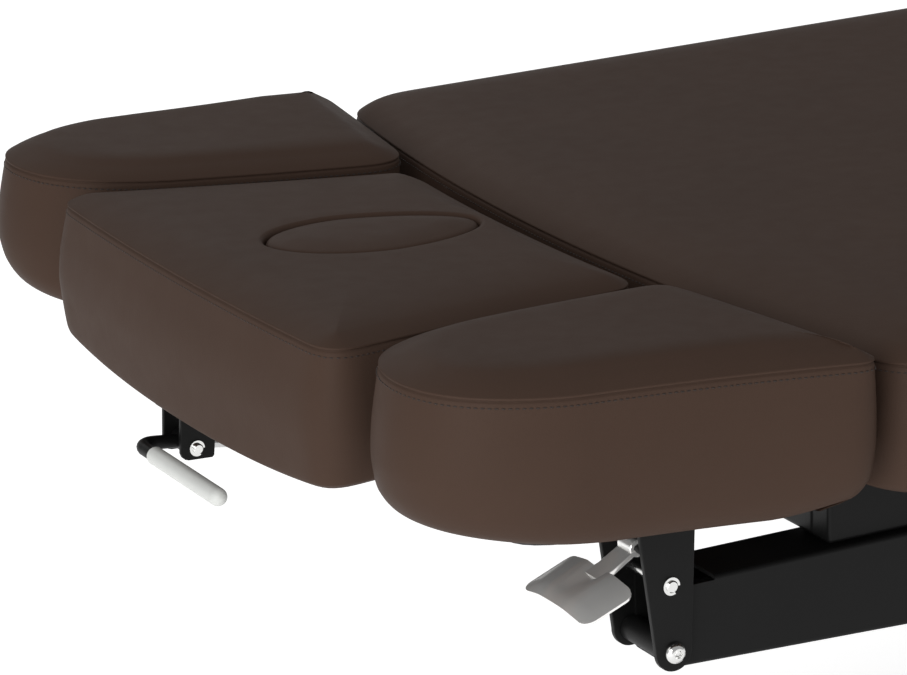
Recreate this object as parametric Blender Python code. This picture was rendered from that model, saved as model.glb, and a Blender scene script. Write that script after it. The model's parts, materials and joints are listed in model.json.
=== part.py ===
"""Facial bed: tilting head and arm sections on a raising back, seat, lowering leg rest and lifting columns.

Metres, +Z up. The bed lies along X with its head at -X, and the origin is on the floor under its middle.
"""
import math

import bmesh
import bpy
from mathutils import Matrix, Vector

# Overall sizes and levels
CUSHION_FRONT = 0.965
BED_WIDTH = 0.838
DECK_HEIGHT = 0.560
GAP = 0.0003

# Cushions: seam heights over the cushion's bottom, and the shape of the section
MAIN_PAD_HEIGHT = 0.093
HEAD_PAD_HEIGHT = 0.104
ARM_PAD_HEIGHT = 0.110
CROWN = 0.014
BULGE = 0.007
ARM_BULGE = 0.0055
BOTTOM_TUCK = 0.018
SLAB_CORNER = 0.025
PAD_GAP = 0.018

# Boards under the cushions, set in from their edges
BOARD_THICKNESS = 0.012
BOARD_TAPER = 0.016
BOARD_SETBACK = 0.045
BOARD_REAR_SETBACK = 0.026
ARM_BOARD_FRONT = 0.075
ARM_BOARD_SIDE = 0.054

# Head section
HEAD_LENGTH = 0.280
HEAD_FRONT_HALF = 0.2265
HEAD_REAR_HALF = 0.175
HEAD_FRONT_BOW = 0.017
HEAD_REAR_HOLLOW = 0.006
HEAD_TO_BACK = 0.032
HEAD_RISE = 0.0095
HEAD_TILT = math.radians(2.7)
PLUG_LENGTH = 0.162
PLUG_HALF_WIDTH = 0.048
PLUG_CLEARANCE = 0.0003
PLUG_SETBACK = 0.074
PLUG_DEPTH = 0.064
PLUG_SINK = 0.002

# Arm sections
ARM_LENGTH = 0.321
ARM_FRONT_SETBACK = 0.007
ARM_OUTER_HALF = 0.402
ARM_NOSE_Y = 0.325
ARM_HEAD_GAP = 0.0155
ARM_GAP_FLARE = 0.003
ARM_NOSE_RISE = 0.012
ARM_NOSE_LENGTH = 0.130
ARM_CENTRE_Y = 0.2982
ARM_PIVOT_SETBACK = 0.213
ARM_PIVOT_DROP = 0.108
ARM_TILT = math.radians(2.7)

# Arm bracket, bolt, lock pin and release paddle
PLATE_THICKNESS = 0.005
PLATE_FLANGE = 0.004
FLANGE_FRONT = 0.060
FLANGE_REAR = 0.050
PLATE_TOP_FRONT = 0.031
PLATE_TOP_REAR = 0.014
PLATE_FOOT_RADIUS = 0.014
PIVOT_BOLT_RADIUS = 0.005
BOLT_HEAD_RADIUS = 0.008
BOLT_HEAD_HEIGHT = 0.005
LOCK_PIN_RADIUS = 0.0045
LOCK_PIN_RISE = 0.049
LOCK_PIN_SHIFT = -0.0043
PADDLE_WIDTH = 0.088
PADDLE_DEPTH = 0.042
PADDLE_SHEET = 0.0025
PADDLE_SLOPE = math.radians(24)
PADDLE_PIVOT_SHIFT = -0.0175
PADDLE_PIVOT_RISE = 0.071
PADDLE_PIN_RADIUS = 0.003
STEM_WIDTH = 0.020
STEM_REACH = 0.024
STEM_DROP = 0.014

# Arm beam and the gas spring inside it
BEAM_WIDTH = 0.053
BEAM_HEIGHT = 0.062
BEAM_TAPER = 0.0413
BEAM_WALL = 0.003
BEAM_LENGTH = 0.440
BEAM_SETBACK = 0.002
BEAM_NOTCH_LENGTH = 0.034
BEAM_NOTCH_DEPTH = 0.006
SLEEVE_RADIUS = 0.0095
SPRING_RADIUS = 0.011
ROD_RADIUS = 0.005
ARM_SPRING_DROP = 0.018
ARM_SPRING_LENGTH = 0.180
ARM_SPRING_SETBACK = 0.110
ARM_ROD_INSERT = 0.050
ARM_ROD_CLEARANCE = 0.012

# Head hinge, gas spring and release lever
HINGE_PIN_RADIUS = 0.005
KNUCKLE_RADIUS = 0.010
KNUCKLE_LENGTH = 0.030
HEAD_HINGE_Y = 0.050
LEAF_THICKNESS = 0.005
LEAF_LENGTH = 0.074
EAR_LENGTH = 0.020
HEAD_SPRING_Y = 0.058
LEVER_PIN_RADIUS = 0.004
LEVER_PIN_SETBACK = 0.030
LEVER_PIN_DROP = 0.0295
CHEEK_THICKNESS = 0.004
CHEEK_SPAN = 0.034
CHEEK_DROP = 0.009
LEVER_ROD_RADIUS = 0.0052
LEVER_ROD_SHIFT = 0.004
LEVER_REACH = 0.038
LEVER_RISE = 0.0025
GRIP_RADIUS = 0.0068
GRIP_LENGTH = 0.114
GRIP_START = 0.030
GRIP_CAP = 0.012
HEAD_SPRING_ANCHOR_X = 0.088
HEAD_SPRING_ANCHOR_DROP = 0.067
HEAD_SPRING_BODY = 0.215
HEAD_ROD_INSERT = 0.118
HEAD_ROD_ROOM = 0.042
HEAD_ROD_CLEARANCE = 0.016

# Back, seat and leg sections
BACK_LENGTH = 0.708
SEAT_LENGTH = 0.300
BACK_FRONT_BOW = 0.040
BACK_SHOULDER = 0.045
BACK_SHOULDER_LENGTH = 0.060
FOOT_CORNER = 0.070
BACK_HINGE_DROP = 0.008
HINGE_PLATE = 0.006
HINGE_PLATE_LENGTH = 0.030
HINGE_PLATE_CLEAR = 0.004
RAIL_WIDTH = 0.040
RAIL_HEIGHT = 0.0475
TOP_RAIL_Y = 0.200
TOP_RAIL_HEIGHT = 0.060
RAIL_CLEAR = 0.004
LEG_RAIL_Y = 0.2455
HINGE_BOLT_RADIUS = 0.006
CROSS_WIDTH = 0.030

# Back and leg actuators, with their pins measured from the hinges and the deck
ACTUATOR_Y = 0.120
ACTUATOR_RADIUS = 0.018
MOTOR_RADIUS = 0.026
MOTOR_LENGTH = 0.090
ACTUATOR_ROD_RADIUS = 0.010
ACTUATOR_ROD_CLEARANCE = 0.026
EYE_RADIUS = 0.014
EYE_WIDTH = 0.016
EYE_SHOULDER = 0.0206
MOTOR_START = 0.0224
LUG_THICKNESS = 0.005
BACK_ANCHOR_REACH = 0.155
BACK_ANCHOR_DROP = 0.115
BACK_LUG_REACH = 0.145
BACK_LUG_DROP = 0.065
BACK_ACTUATOR_BODY = 0.215
BACK_ROD_INSERT = 0.060
BACK_ROD_ROOM = 0.010
LEG_ANCHOR_REACH = 0.483
LEG_ANCHOR_DROP = 0.215
LEG_LUG_REACH = 0.217
LEG_LUG_DROP = 0.185
LEG_HINGE_DROP = 0.025
LEG_ACTUATOR_BODY = 0.480
LEG_ROD_INSERT = 0.300
LEG_ROD_ROOM = 0.110

# Columns, base frame, feet and control box
HEAD_COLUMN_SETBACK = 0.294
FOOT_COLUMN_SETBACK = 0.226
COLUMN_LENGTH_X = 0.110
COLUMN_WIDTH_Y = 0.150
COLUMN_WALL = 0.006
COLUMN_SLIDE_GAP = 0.0003
COLUMN_TOP_CLEARANCE = 0.0266
COLUMN_BOTTOM_ROOM = 0.020
TOP_CROSS_HEIGHT = 0.050
TOP_CROSS_LENGTH = 0.044
BASE_HALF_LENGTH = 0.600
BASE_RAIL_Y = 0.280
BASE_TUBE_WIDTH = 0.060
BASE_TUBE_HEIGHT = 0.050
BASE_CROSS_LENGTH = 0.114
SPINE_WIDTH = 0.090
FOOT_HEIGHT = 0.030
FOOT_RADIUS = 0.030
FOOT_DISC = 0.010
FOOT_STEM_RADIUS = 0.007
FOOT_INSET = 0.050
BOX_SIZE = Vector((0.190, 0.140, 0.075))
BOX_ROUND = 0.004
INLET_SIZE = Vector((0.030, 0.012, 0.024))
INLET_RISE = 0.025
INLET_WALL = 0.003

# Steps between welded members, so that no two faces lie in one plane, and the reach of long bores
STEP = 0.001
BORE_REACH = 0.5

# Finishes: colour, metallic, roughness
FINISHES = {
    "leather": ((0.058, 0.034, 0.027), 0.0, 0.45),
    "black_paint": ((0.015, 0.015, 0.016), 0.2, 0.45),
    "chrome": ((0.75, 0.75, 0.75), 1.0, 0.12),
    "steel": ((0.55, 0.55, 0.55), 1.0, 0.30),
    "grip": ((0.52, 0.53, 0.52), 0.0, 0.40),
    "board": ((0.030, 0.030, 0.032), 0.0, 0.80),
    "plastic": ((0.020, 0.020, 0.022), 0.0, 0.50),
    "column": ((0.045, 0.046, 0.048), 0.4, 0.40),
    "rubber": ((0.012, 0.012, 0.012), 0.0, 0.85),
}

# Places that follow from the sizes
FRONT_X = -CUSHION_FRONT + BULGE
HEAD_CORNER_X = FRONT_X + HEAD_FRONT_BOW
HEAD_REAR_X = HEAD_CORNER_X + HEAD_LENGTH - HEAD_FRONT_BOW
BACK_FRONT_X = HEAD_REAR_X + HEAD_TO_BACK - HEAD_REAR_HOLLOW
BACK_REAR_X = BACK_FRONT_X + BACK_LENGTH
SEAT_FRONT_X = BACK_REAR_X + PAD_GAP
SEAT_REAR_X = SEAT_FRONT_X + SEAT_LENGTH
LEG_FRONT_X = SEAT_REAR_X + PAD_GAP
MAIN_HALF = BED_WIDTH / 2
MAIN_SEAM = DECK_HEIGHT + MAIN_PAD_HEIGHT
BOARD_BOTTOM = DECK_HEIGHT - BOARD_THICKNESS - GAP
RAIL_TOP = BOARD_BOTTOM - GAP
RAIL_BOTTOM = RAIL_TOP - RAIL_HEIGHT
BEAM_TOP = RAIL_BOTTOM - GAP
TOP_RAIL_TOP = RAIL_BOTTOM - RAIL_CLEAR
TOP_RAIL_BOTTOM = TOP_RAIL_TOP - TOP_RAIL_HEIGHT
TOP_CROSS_BOTTOM = TOP_RAIL_BOTTOM - TOP_CROSS_HEIGHT
BASE_TOP = FOOT_HEIGHT + BASE_TUBE_HEIGHT
BACK_HINGE = Vector(((BACK_REAR_X + SEAT_FRONT_X) / 2, 0, MAIN_SEAM - BACK_HINGE_DROP))
LEG_HINGE = Vector(((SEAT_REAR_X + LEG_FRONT_X) / 2, 0, DECK_HEIGHT - LEG_HINGE_DROP))
HEAD_HINGE = Vector(((HEAD_REAR_X + BACK_FRONT_X) / 2, 0, RAIL_TOP - KNUCKLE_RADIUS + GAP))
HEAD_BOTTOM = HEAD_HINGE.z + KNUCKLE_RADIUS + HEAD_RISE
ARM_PIVOT = Vector((FRONT_X + ARM_PIVOT_SETBACK, 0, DECK_HEIGHT - ARM_PIVOT_DROP))
ARM_BOTTOM = DECK_HEIGHT
HEAD_LEAN = (HEAD_BOTTOM + HEAD_PAD_HEIGHT - HEAD_HINGE.z) * math.sin(HEAD_TILT)
ARM_LEAN = (ARM_BOTTOM + ARM_PAD_HEIGHT - ARM_PIVOT.z) * math.sin(ARM_TILT)
ARM_FRONT_X = FRONT_X + ARM_FRONT_SETBACK
BEAM_FRONT_X = ARM_PIVOT.x + BEAM_SETBACK
PLATE_OUTER = BEAM_WIDTH / 2 + GAP + PLATE_THICKNESS
COLUMN_HEAD_X = BACK_REAR_X - HEAD_COLUMN_SETBACK
COLUMN_FOOT_X = SEAT_FRONT_X + FOOT_COLUMN_SETBACK
BACK_ANCHOR = Vector((BACK_HINGE.x + BACK_ANCHOR_REACH, 0, DECK_HEIGHT - BACK_ANCHOR_DROP))
BACK_LUG = Vector((BACK_HINGE.x - BACK_LUG_REACH, 0, DECK_HEIGHT - BACK_LUG_DROP))
LEG_ANCHOR = Vector((LEG_HINGE.x - LEG_ANCHOR_REACH, 0, DECK_HEIGHT - LEG_ANCHOR_DROP))
LEG_LUG = Vector((LEG_HINGE.x + LEG_LUG_REACH, 0, DECK_HEIGHT - LEG_LUG_DROP))
HEAD_ANCHOR = HEAD_HINGE + Vector((HEAD_SPRING_ANCHOR_X, 0, -HEAD_SPRING_ANCHOR_DROP))
LEVER_PIN = Vector((FRONT_X + LEVER_PIN_SETBACK, 0, HEAD_BOTTOM - BOARD_THICKNESS - LEVER_PIN_DROP))


def tilted(point, pivot, angle):
    """A point of a tilted section at rest, turned front up about its pivot."""
    return pivot + Matrix.Rotation(angle, 3, "Y") @ (point - pivot)


LEVER_BEND = LEVER_PIN + Vector((-LEVER_REACH, 0, LEVER_RISE))
LEG_REAR_X = GRIP_RADIUS - tilted(LEVER_BEND, HEAD_HINGE, HEAD_TILT).x - BULGE


def clear_scene():
    """Remove every object and collection that the file starts with."""
    for item in list(bpy.data.objects):
        bpy.data.objects.remove(item, do_unlink=True)
    for group in list(bpy.data.collections):
        bpy.data.collections.remove(group)


def new_collection(name):
    group = bpy.data.collections.new(name)
    bpy.context.scene.collection.children.link(group)
    return group


def finish(name):
    """Return the named finish as a Principled material."""
    material = bpy.data.materials.get(name)
    if material is None:
        colour, metallic, roughness = FINISHES[name]
        material = bpy.data.materials.new(name)
        material.use_nodes = True
        shader = material.node_tree.nodes["Principled BSDF"]
        shader.inputs["Base Color"].default_value = (*colour, 1.0)
        shader.inputs["Metallic"].default_value = metallic
        shader.inputs["Roughness"].default_value = roughness
    return material


def add_object(name, bm, material, parent=None, origin=(0, 0, 0), smooth=False):
    """Make an object from a bmesh in world coordinates, with its origin at the given point."""
    bmesh.ops.remove_doubles(bm, verts=bm.verts, dist=1e-6)
    bmesh.ops.recalc_face_normals(bm, faces=bm.faces)
    bmesh.ops.translate(bm, verts=bm.verts, vec=-Vector(origin))
    mesh = bpy.data.meshes.new(name)
    bm.to_mesh(mesh)
    bm.free()
    if smooth:
        mesh.shade_smooth()
        mesh.set_sharp_from_angle(angle=math.radians(35))
    item = bpy.data.objects.new(name, mesh)
    item.location = origin
    PARTS.objects.link(item)
    if material:
        mesh.materials.append(finish(material))
    attach(item, parent)
    return item


def attach(item, parent):
    """Parent an object to an empty and keep its place."""
    if parent is not None:
        bpy.context.view_layer.update()
        item.parent = parent
        item.matrix_parent_inverse = parent.matrix_world.inverted()


def axis_empty(name, location, parent=None):
    """An empty on a joint's axis, which the moving pieces hang from."""
    empty = bpy.data.objects.new(name, None)
    empty.empty_display_size = 0.05
    empty.location = location
    PARTS.objects.link(empty)
    attach(empty, parent)
    bpy.context.view_layer.update()
    return empty


def box_bmesh(low, high, bevel=0.0):
    bm = bmesh.new()
    bmesh.ops.create_cube(bm, size=1.0)
    low, high = Vector(low), Vector(high)
    bmesh.ops.scale(bm, vec=high - low, verts=bm.verts)
    bmesh.ops.translate(bm, vec=(low + high) / 2, verts=bm.verts)
    if bevel:
        bmesh.ops.bevel(bm, geom=bm.edges[:], offset=bevel, segments=2, profile=0.5, affect="EDGES",
                        material=-1)
    return bm


def side_box(x, y, z, bevel=0.0):
    """A box from its ranges along X, Y and Z, each in either order."""
    ranges = [sorted(x), sorted(y), sorted(z)]
    return box_bmesh([r[0] for r in ranges], [r[1] for r in ranges], bevel)


def rod_bmesh(start, end, radius, sides=16):
    """A round bar between two points."""
    start, end = Vector(start), Vector(end)
    bm = bmesh.new()
    bmesh.ops.create_cone(bm, cap_ends=True, segments=sides, radius1=radius, radius2=radius,
                          depth=(end - start).length)
    turn = Vector((0, 0, 1)).rotation_difference(end - start).to_matrix().to_4x4()
    bmesh.ops.transform(bm, matrix=Matrix.Translation((start + end) / 2) @ turn, verts=bm.verts)
    return bm


def cross_rod(point, y_low, y_high, radius, sides=16):
    """A round bar along Y through a point's X and Z."""
    return rod_bmesh((point.x, y_low, point.z), (point.x, y_high, point.z), radius, sides)


def long_bore(point, radius):
    """A cutter along Y through the whole width of the bed."""
    return cross_rod(point, -BORE_REACH, BORE_REACH, radius + GAP)


def plate_bmesh(outline, y_low, y_high):
    """A flat plate in the XZ plane with its thickness along Y."""
    bm = bmesh.new()
    face = bm.faces.new([bm.verts.new((x, y_low, z)) for x, z in outline])
    raised = bmesh.ops.extrude_face_region(bm, geom=[face])["geom"]
    moved = [v for v in raised if isinstance(v, bmesh.types.BMVert)]
    bmesh.ops.translate(bm, vec=(0, y_high - y_low, 0), verts=moved)
    return bm


def temp_object(bm):
    """A loose helper object, for a cutter or a piece about to be welded."""
    bmesh.ops.recalc_face_normals(bm, faces=bm.faces)
    mesh = bpy.data.meshes.new("helper")
    bm.to_mesh(mesh)
    bm.free()
    item = bpy.data.objects.new("helper", mesh)
    item.hide_render = True
    item.display_type = "WIRE"
    CUTTERS.objects.link(item)
    return item


def combine(base, tools, operation):
    """Apply an exact Boolean of each tool to a bmesh and return the result as a bmesh."""
    body = temp_object(base)
    for tool in tools:
        other = temp_object(tool)
        modifier = body.modifiers.new("cut", "BOOLEAN")
        modifier.operation = operation
        modifier.solver = "EXACT"
        modifier.object = other
        bpy.context.view_layer.update()
        mesh = bpy.data.meshes.new_from_object(body.evaluated_get(bpy.context.evaluated_depsgraph_get()))
        body.modifiers.clear()
        body.data = mesh
        bpy.data.objects.remove(other, do_unlink=True)
    bm = bmesh.new()
    bm.from_mesh(body.data)
    bpy.data.objects.remove(body, do_unlink=True)
    bmesh.ops.dissolve_limit(bm, angle_limit=math.radians(0.5), verts=bm.verts, edges=bm.edges)
    return bm


def weld(pieces):
    return combine(pieces[0], pieces[1:], "UNION")


def cut(base, tools):
    return combine(base, tools, "DIFFERENCE")


def curve_points(start, stretches):
    """Points along quadratic stretches, each given as control, end and number of steps."""
    points = [Vector(start)]
    for control, end, steps in stretches:
        first, control, end = points[-1], Vector(control), Vector(end)
        for i in range(1, steps + 1):
            t = i / steps
            points.append(first * (1 - t) ** 2 + control * 2 * t * (1 - t) + end * t * t)
    return points


def shifted(outline, distance):
    """An outline moved along X: a tilted section is drawn level, ahead of where its seam comes to rest."""
    return [Vector((p.x + distance, p.y)) for p in outline]


def mirrored(half):
    """Close a half outline, given from its front middle to its rear middle, with its mirror image in Y."""
    return half + [Vector((p.x, -p.y)) for p in reversed(half[1:-1])]


def head_half(x):
    """Half width of the head cushion at a place along X."""
    t = (x - HEAD_CORNER_X) / (HEAD_REAR_X - HEAD_CORNER_X)
    return HEAD_FRONT_HALF + (HEAD_REAR_HALF - HEAD_FRONT_HALF) * (1.35 * t - 0.35 * t * t)


def head_outline():
    front, rear, corner = FRONT_X, HEAD_REAR_X, HEAD_CORNER_X
    nose = HEAD_FRONT_HALF - 0.0215
    side_start, side_end = corner + 0.026, rear - 0.020
    side_control = (side_start + side_end) / 2
    half = curve_points((front, 0), [
        ((front, -nose / 2), (front + 0.007, -nose), 4),
        ((front + 0.010, -HEAD_FRONT_HALF - 0.004), (side_start, -head_half(side_start)), 4),
        ((side_control, -head_half(side_control) + 0.001), (side_end, -head_half(side_end)), 4),
        ((rear + 0.001, -head_half(rear)), (rear, -head_half(rear) + 0.025), 3),
        ((rear - HEAD_REAR_HOLLOW, -HEAD_REAR_HALF / 2), (rear - HEAD_REAR_HOLLOW, 0), 3),
    ])
    return mirrored(half)


def back_front(y):
    """Where the back cushion's bowed front edge is, at a distance from the middle."""
    return BACK_FRONT_X + BACK_FRONT_BOW * (y / MAIN_HALF) ** 2


def arm_outline(side):
    """Outline of an arm cushion: side -1 is near, +1 is far."""
    front = ARM_FRONT_X
    rear = front + ARM_LENGTH
    inner = [front + 0.090, front + 0.165, front + 0.250]
    edge = [head_half(x) + ARM_HEAD_GAP + i * ARM_GAP_FLARE for i, x in enumerate(inner)]
    points = curve_points((front, -ARM_NOSE_Y), [
        ((front, -ARM_OUTER_HALF + 0.012), (front + 0.085, -ARM_OUTER_HALF + 0.002), 6),
        ((front + 0.200, -ARM_OUTER_HALF), (rear - 0.018, -ARM_OUTER_HALF - 0.017), 4),
        ((rear, -ARM_OUTER_HALF - 0.020), (rear - 0.002, -ARM_OUTER_HALF - 0.002), 3),
        ((rear - 0.020, -ARM_CENTRE_Y + 0.012), (rear - 0.031, -edge[2] - 0.028), 4),
        ((rear - 0.037, -edge[2] + 0.002), (inner[2] - 0.004, -edge[2]), 4),
        ((inner[1], -edge[1] + 0.001), (inner[0], -edge[0] - 0.001), 3),
        ((front, -edge[0] - 0.023), (front, -ARM_NOSE_Y), 6),
    ])
    return [Vector((p.x, -side * p.y)) for p in points[:-1]]


def slab_outline(front, rear, front_round, rear_round):
    """A straight section's outline with rounded corners."""
    quarter = MAIN_HALF / 2
    return mirrored(curve_points((front, 0), [
        ((front, -quarter), (front, -MAIN_HALF + front_round), 1),
        ((front, -MAIN_HALF), (front + front_round, -MAIN_HALF), 4),
        (((front + rear) / 2, -MAIN_HALF), (rear - rear_round, -MAIN_HALF), 1),
        ((rear, -MAIN_HALF), (rear, -MAIN_HALF + rear_round), 4),
        ((rear, -quarter), (rear, 0), 1),
    ]))


def back_outline():
    shoulder = MAIN_HALF - BACK_SHOULDER
    corner = back_front(shoulder)
    rear = BACK_REAR_X
    return mirrored(curve_points((BACK_FRONT_X, 0), [
        ((BACK_FRONT_X, -shoulder / 2), (corner, -shoulder), 8),
        ((corner + 0.010, -MAIN_HALF), (corner + BACK_SHOULDER_LENGTH, -MAIN_HALF), 5),
        ((0, -MAIN_HALF), (rear - SLAB_CORNER, -MAIN_HALF), 1),
        ((rear, -MAIN_HALF), (rear, -MAIN_HALF + SLAB_CORNER), 3),
        ((rear, -MAIN_HALF / 2), (rear, 0), 1),
    ]))


def pad_section(height, bulge):
    """A cushion's section: distance out from the seam and height over the bottom, from bottom to crown."""
    middle = height * 0.48
    return [(-BOTTOM_TUCK, 0), (-BOTTOM_TUCK * 0.42, 0.006), (bulge * 0.35, 0.018), (bulge, middle),
            (bulge * 0.55, height - 0.022), (0, height), (-0.012, height + CROWN * 0.52),
            (-0.045, height + CROWN * 0.86)]


def loft_outline(outline, section, bottom, last_scale=None, last_height=None):
    """Raise an outline through a section: each step is an extruded face, scaled about its middle and lifted."""
    bm = bmesh.new()
    low = Vector((min(p.x for p in outline), min(p.y for p in outline)))
    high = Vector((max(p.x for p in outline), max(p.y for p in outline)))
    centre, half = (low + high) / 2, (high - low) / 2
    space = Matrix.Translation((-centre.x, -centre.y, 0))
    face = bm.faces.new([bm.verts.new((p.x, p.y, bottom)) for p in outline])
    offset, level = section[0]
    bmesh.ops.scale(bm, vec=((half.x + offset) / half.x, (half.y + offset) / half.y, 1), space=space,
                    verts=bm.verts)
    bottom_face = face
    for out, height in section[1:]:
        grow = ((half.x + out) / (half.x + offset), (half.y + out) / (half.y + offset), 1)
        face = raise_face(bm, face, grow, height - level, space, face is bottom_face)
        offset, level = out, height
    if last_scale:
        raise_face(bm, face, (last_scale, last_scale, 1), last_height - level, space)
    return bm


def raise_face(bm, face, grow, lift, space, keep=False):
    """Extrude one face, scale and lift its copy, and keep the face itself only where it closes the body."""
    raised = bmesh.ops.extrude_face_region(bm, geom=[face])["geom"]
    if not keep:
        bmesh.ops.delete(bm, geom=[face], context="FACES_ONLY")
    moved = [v for v in raised if isinstance(v, bmesh.types.BMVert)]
    bmesh.ops.scale(bm, vec=grow, space=space, verts=moved)
    bmesh.ops.translate(bm, vec=(0, 0, lift), verts=moved)
    return [f for f in raised if isinstance(f, bmesh.types.BMFace)][0]


def pad_bmesh(outline, bottom, height, bulge=BULGE):
    return loft_outline(outline, pad_section(height, bulge), bottom, 0.55, height + CROWN)


def raise_nose(bm, front, bottom, height):
    """Slope the underside of an arm cushion up toward its front end."""
    bend = front + ARM_NOSE_LENGTH
    everything = bm.verts[:] + bm.edges[:] + bm.faces[:]
    bmesh.ops.bisect_plane(bm, geom=everything, plane_co=(bend, 0, 0), plane_no=(1, 0, 0))
    for vert in bm.verts:
        ahead = max(0.0, bend - vert.co.x) / ARM_NOSE_LENGTH
        low = max(0.0, 1 - 2 * (vert.co.z - bottom) / height)
        bmesh.ops.translate(bm, vec=(0, 0, ARM_NOSE_RISE * ahead * low), verts=[vert])
    return bm


def board_bmesh(outline, top, front=BOARD_SETBACK, rear=BOARD_REAR_SETBACK, side=BOARD_SETBACK):
    """A plywood board under a cushion, set in from its outline and tapered to a smaller underside."""
    low = Vector((min(p.x for p in outline), min(p.y for p in outline)))
    high = Vector((max(p.x for p in outline), max(p.y for p in outline)))
    along = (high.x - low.x - front - rear) / (high.x - low.x)
    across = (high.y - low.y - 2 * side) / (high.y - low.y)
    centre = (low.y + high.y) / 2
    drawn = [Vector((low.x + front + (p.x - low.x) * along, centre + (p.y - centre) * across)) for p in outline]
    return loft_outline(drawn, [(-BOARD_TAPER, 0), (0, BOARD_THICKNESS)], top - BOARD_THICKNESS)


def egg_outline(margin):
    """The face plug's egg outline, wider toward the front, grown by a margin."""
    front = FRONT_X + PLUG_SETBACK - HEAD_LEAN
    middle = front + PLUG_LENGTH * 0.46
    points = []
    for i in range(24):
        angle = 2 * math.pi * i / 24
        reach = middle - front if math.cos(angle) < 0 else front + PLUG_LENGTH - middle
        points.append(Vector((middle + (reach + margin) * math.cos(angle),
                              (PLUG_HALF_WIDTH + margin) * math.sin(angle))))
    return points


def face_hole():
    """A cutter through the head cushion and its board, the plug's outline with its clearance."""
    return loft_outline(egg_outline(PLUG_CLEARANCE), [(0, 0), (0, 0.4)], HEAD_BOTTOM - 0.2)


def pin_bore(point, y, radius):
    return cross_rod(point, y - 0.05, y + 0.05, radius + GAP)


def lug_plates(point, y, low, high):
    """Two cheek plates and the pin between them, around an eye."""
    inner = EYE_WIDTH / 2 + GAP
    outer = inner + LUG_THICKNESS
    x, z = (low[0], high[0]), (low[1], high[1])
    cheeks = [side_box(x, (y + s * inner, y + s * outer), z) for s in (-1, 1)]
    reach = inner + LUG_THICKNESS / 2
    return cheeks + [cross_rod(point, y - reach, y + reach, HINGE_PIN_RADIUS)]


def headed_pin(point, y_start, y_end, head_height):
    """A hinge pin along Y whose head stands beyond its end."""
    over = head_height if y_end > y_start else -head_height
    shaft = cross_rod(point, y_start, y_end + over / 2, HINGE_BOLT_RADIUS)
    return weld([cross_rod(point, y_end, y_end + over, HINGE_BOLT_RADIUS * 1.7), shaft])


def build_base():
    """Floor frame, feet, fixed columns and the control box."""
    low, high = FOOT_HEIGHT, BASE_TOP
    half_tube, half_cross = BASE_TUBE_WIDTH / 2, BASE_CROSS_LENGTH / 2
    pieces = [side_box((-BASE_HALF_LENGTH, BASE_HALF_LENGTH), (y - half_tube, y + half_tube), (low, high))
              for y in (-BASE_RAIL_Y, BASE_RAIL_Y)]
    pieces += [side_box((x - half_cross, x + half_cross), (-BASE_RAIL_Y, BASE_RAIL_Y),
                        (low + STEP, high - STEP)) for x in (COLUMN_HEAD_X, COLUMN_FOOT_X)]
    pieces.append(side_box((COLUMN_HEAD_X, COLUMN_FOOT_X), (-SPINE_WIDTH / 2, SPINE_WIDTH / 2),
                           (low + 2 * STEP, high - 2 * STEP)))
    add_object("base_frame", weld(pieces), "black_paint")
    for end, x in (("head", -BASE_HALF_LENGTH + FOOT_INSET), ("foot", BASE_HALF_LENGTH - FOOT_INSET)):
        for side, y in (("near", -BASE_RAIL_Y), ("far", BASE_RAIL_Y)):
            disc = rod_bmesh((x, y, 0), (x, y, FOOT_DISC), FOOT_RADIUS, 20)
            stem = rod_bmesh((x, y, FOOT_DISC / 2), (x, y, FOOT_HEIGHT - GAP), FOOT_STEM_RADIUS, 12)
            add_object("levelling_foot_%s_%s" % (end, side), weld([disc, stem]), "rubber", smooth=True)
    half = Vector((COLUMN_LENGTH_X / 2, COLUMN_WIDTH_Y / 2))
    bore = half - Vector((COLUMN_WALL, COLUMN_WALL))
    bottom = BASE_TOP - STEP + GAP
    top = TOP_CROSS_BOTTOM - COLUMN_TOP_CLEARANCE
    for end, x in (("head", COLUMN_HEAD_X), ("foot", COLUMN_FOOT_X)):
        shell = side_box((x - half.x, x + half.x), (-half.y, half.y), (bottom, top))
        inside = side_box((x - bore.x, x + bore.x), (-bore.y, bore.y),
                          (bottom + COLUMN_WALL, top + COLUMN_WALL))
        add_object("column_outer_" + end, cut(shell, [inside]), "column")
    middle = (COLUMN_HEAD_X + COLUMN_FOOT_X) / 2
    floor = BASE_TOP - 2 * STEP + GAP
    half = BOX_SIZE / 2
    add_object("control_box", side_box((middle - half.x, middle + half.x), (-half.y, half.y),
                                       (floor, floor + BOX_SIZE.z), BOX_ROUND), "plastic")
    face, low, half_inlet = half.y + GAP, floor + INLET_RISE, INLET_SIZE.x / 2
    inlet = side_box((middle - half_inlet, middle + half_inlet), (face, face + INLET_SIZE.y),
                     (low, low + INLET_SIZE.z))
    opening = half_inlet - INLET_WALL
    socket = side_box((middle - opening, middle + opening), (face + INLET_WALL, face + 2 * INLET_SIZE.y),
                      (low + INLET_WALL, low + INLET_SIZE.z - INLET_WALL))
    add_object("power_inlet", cut(inlet, [socket]), "plastic")


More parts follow.
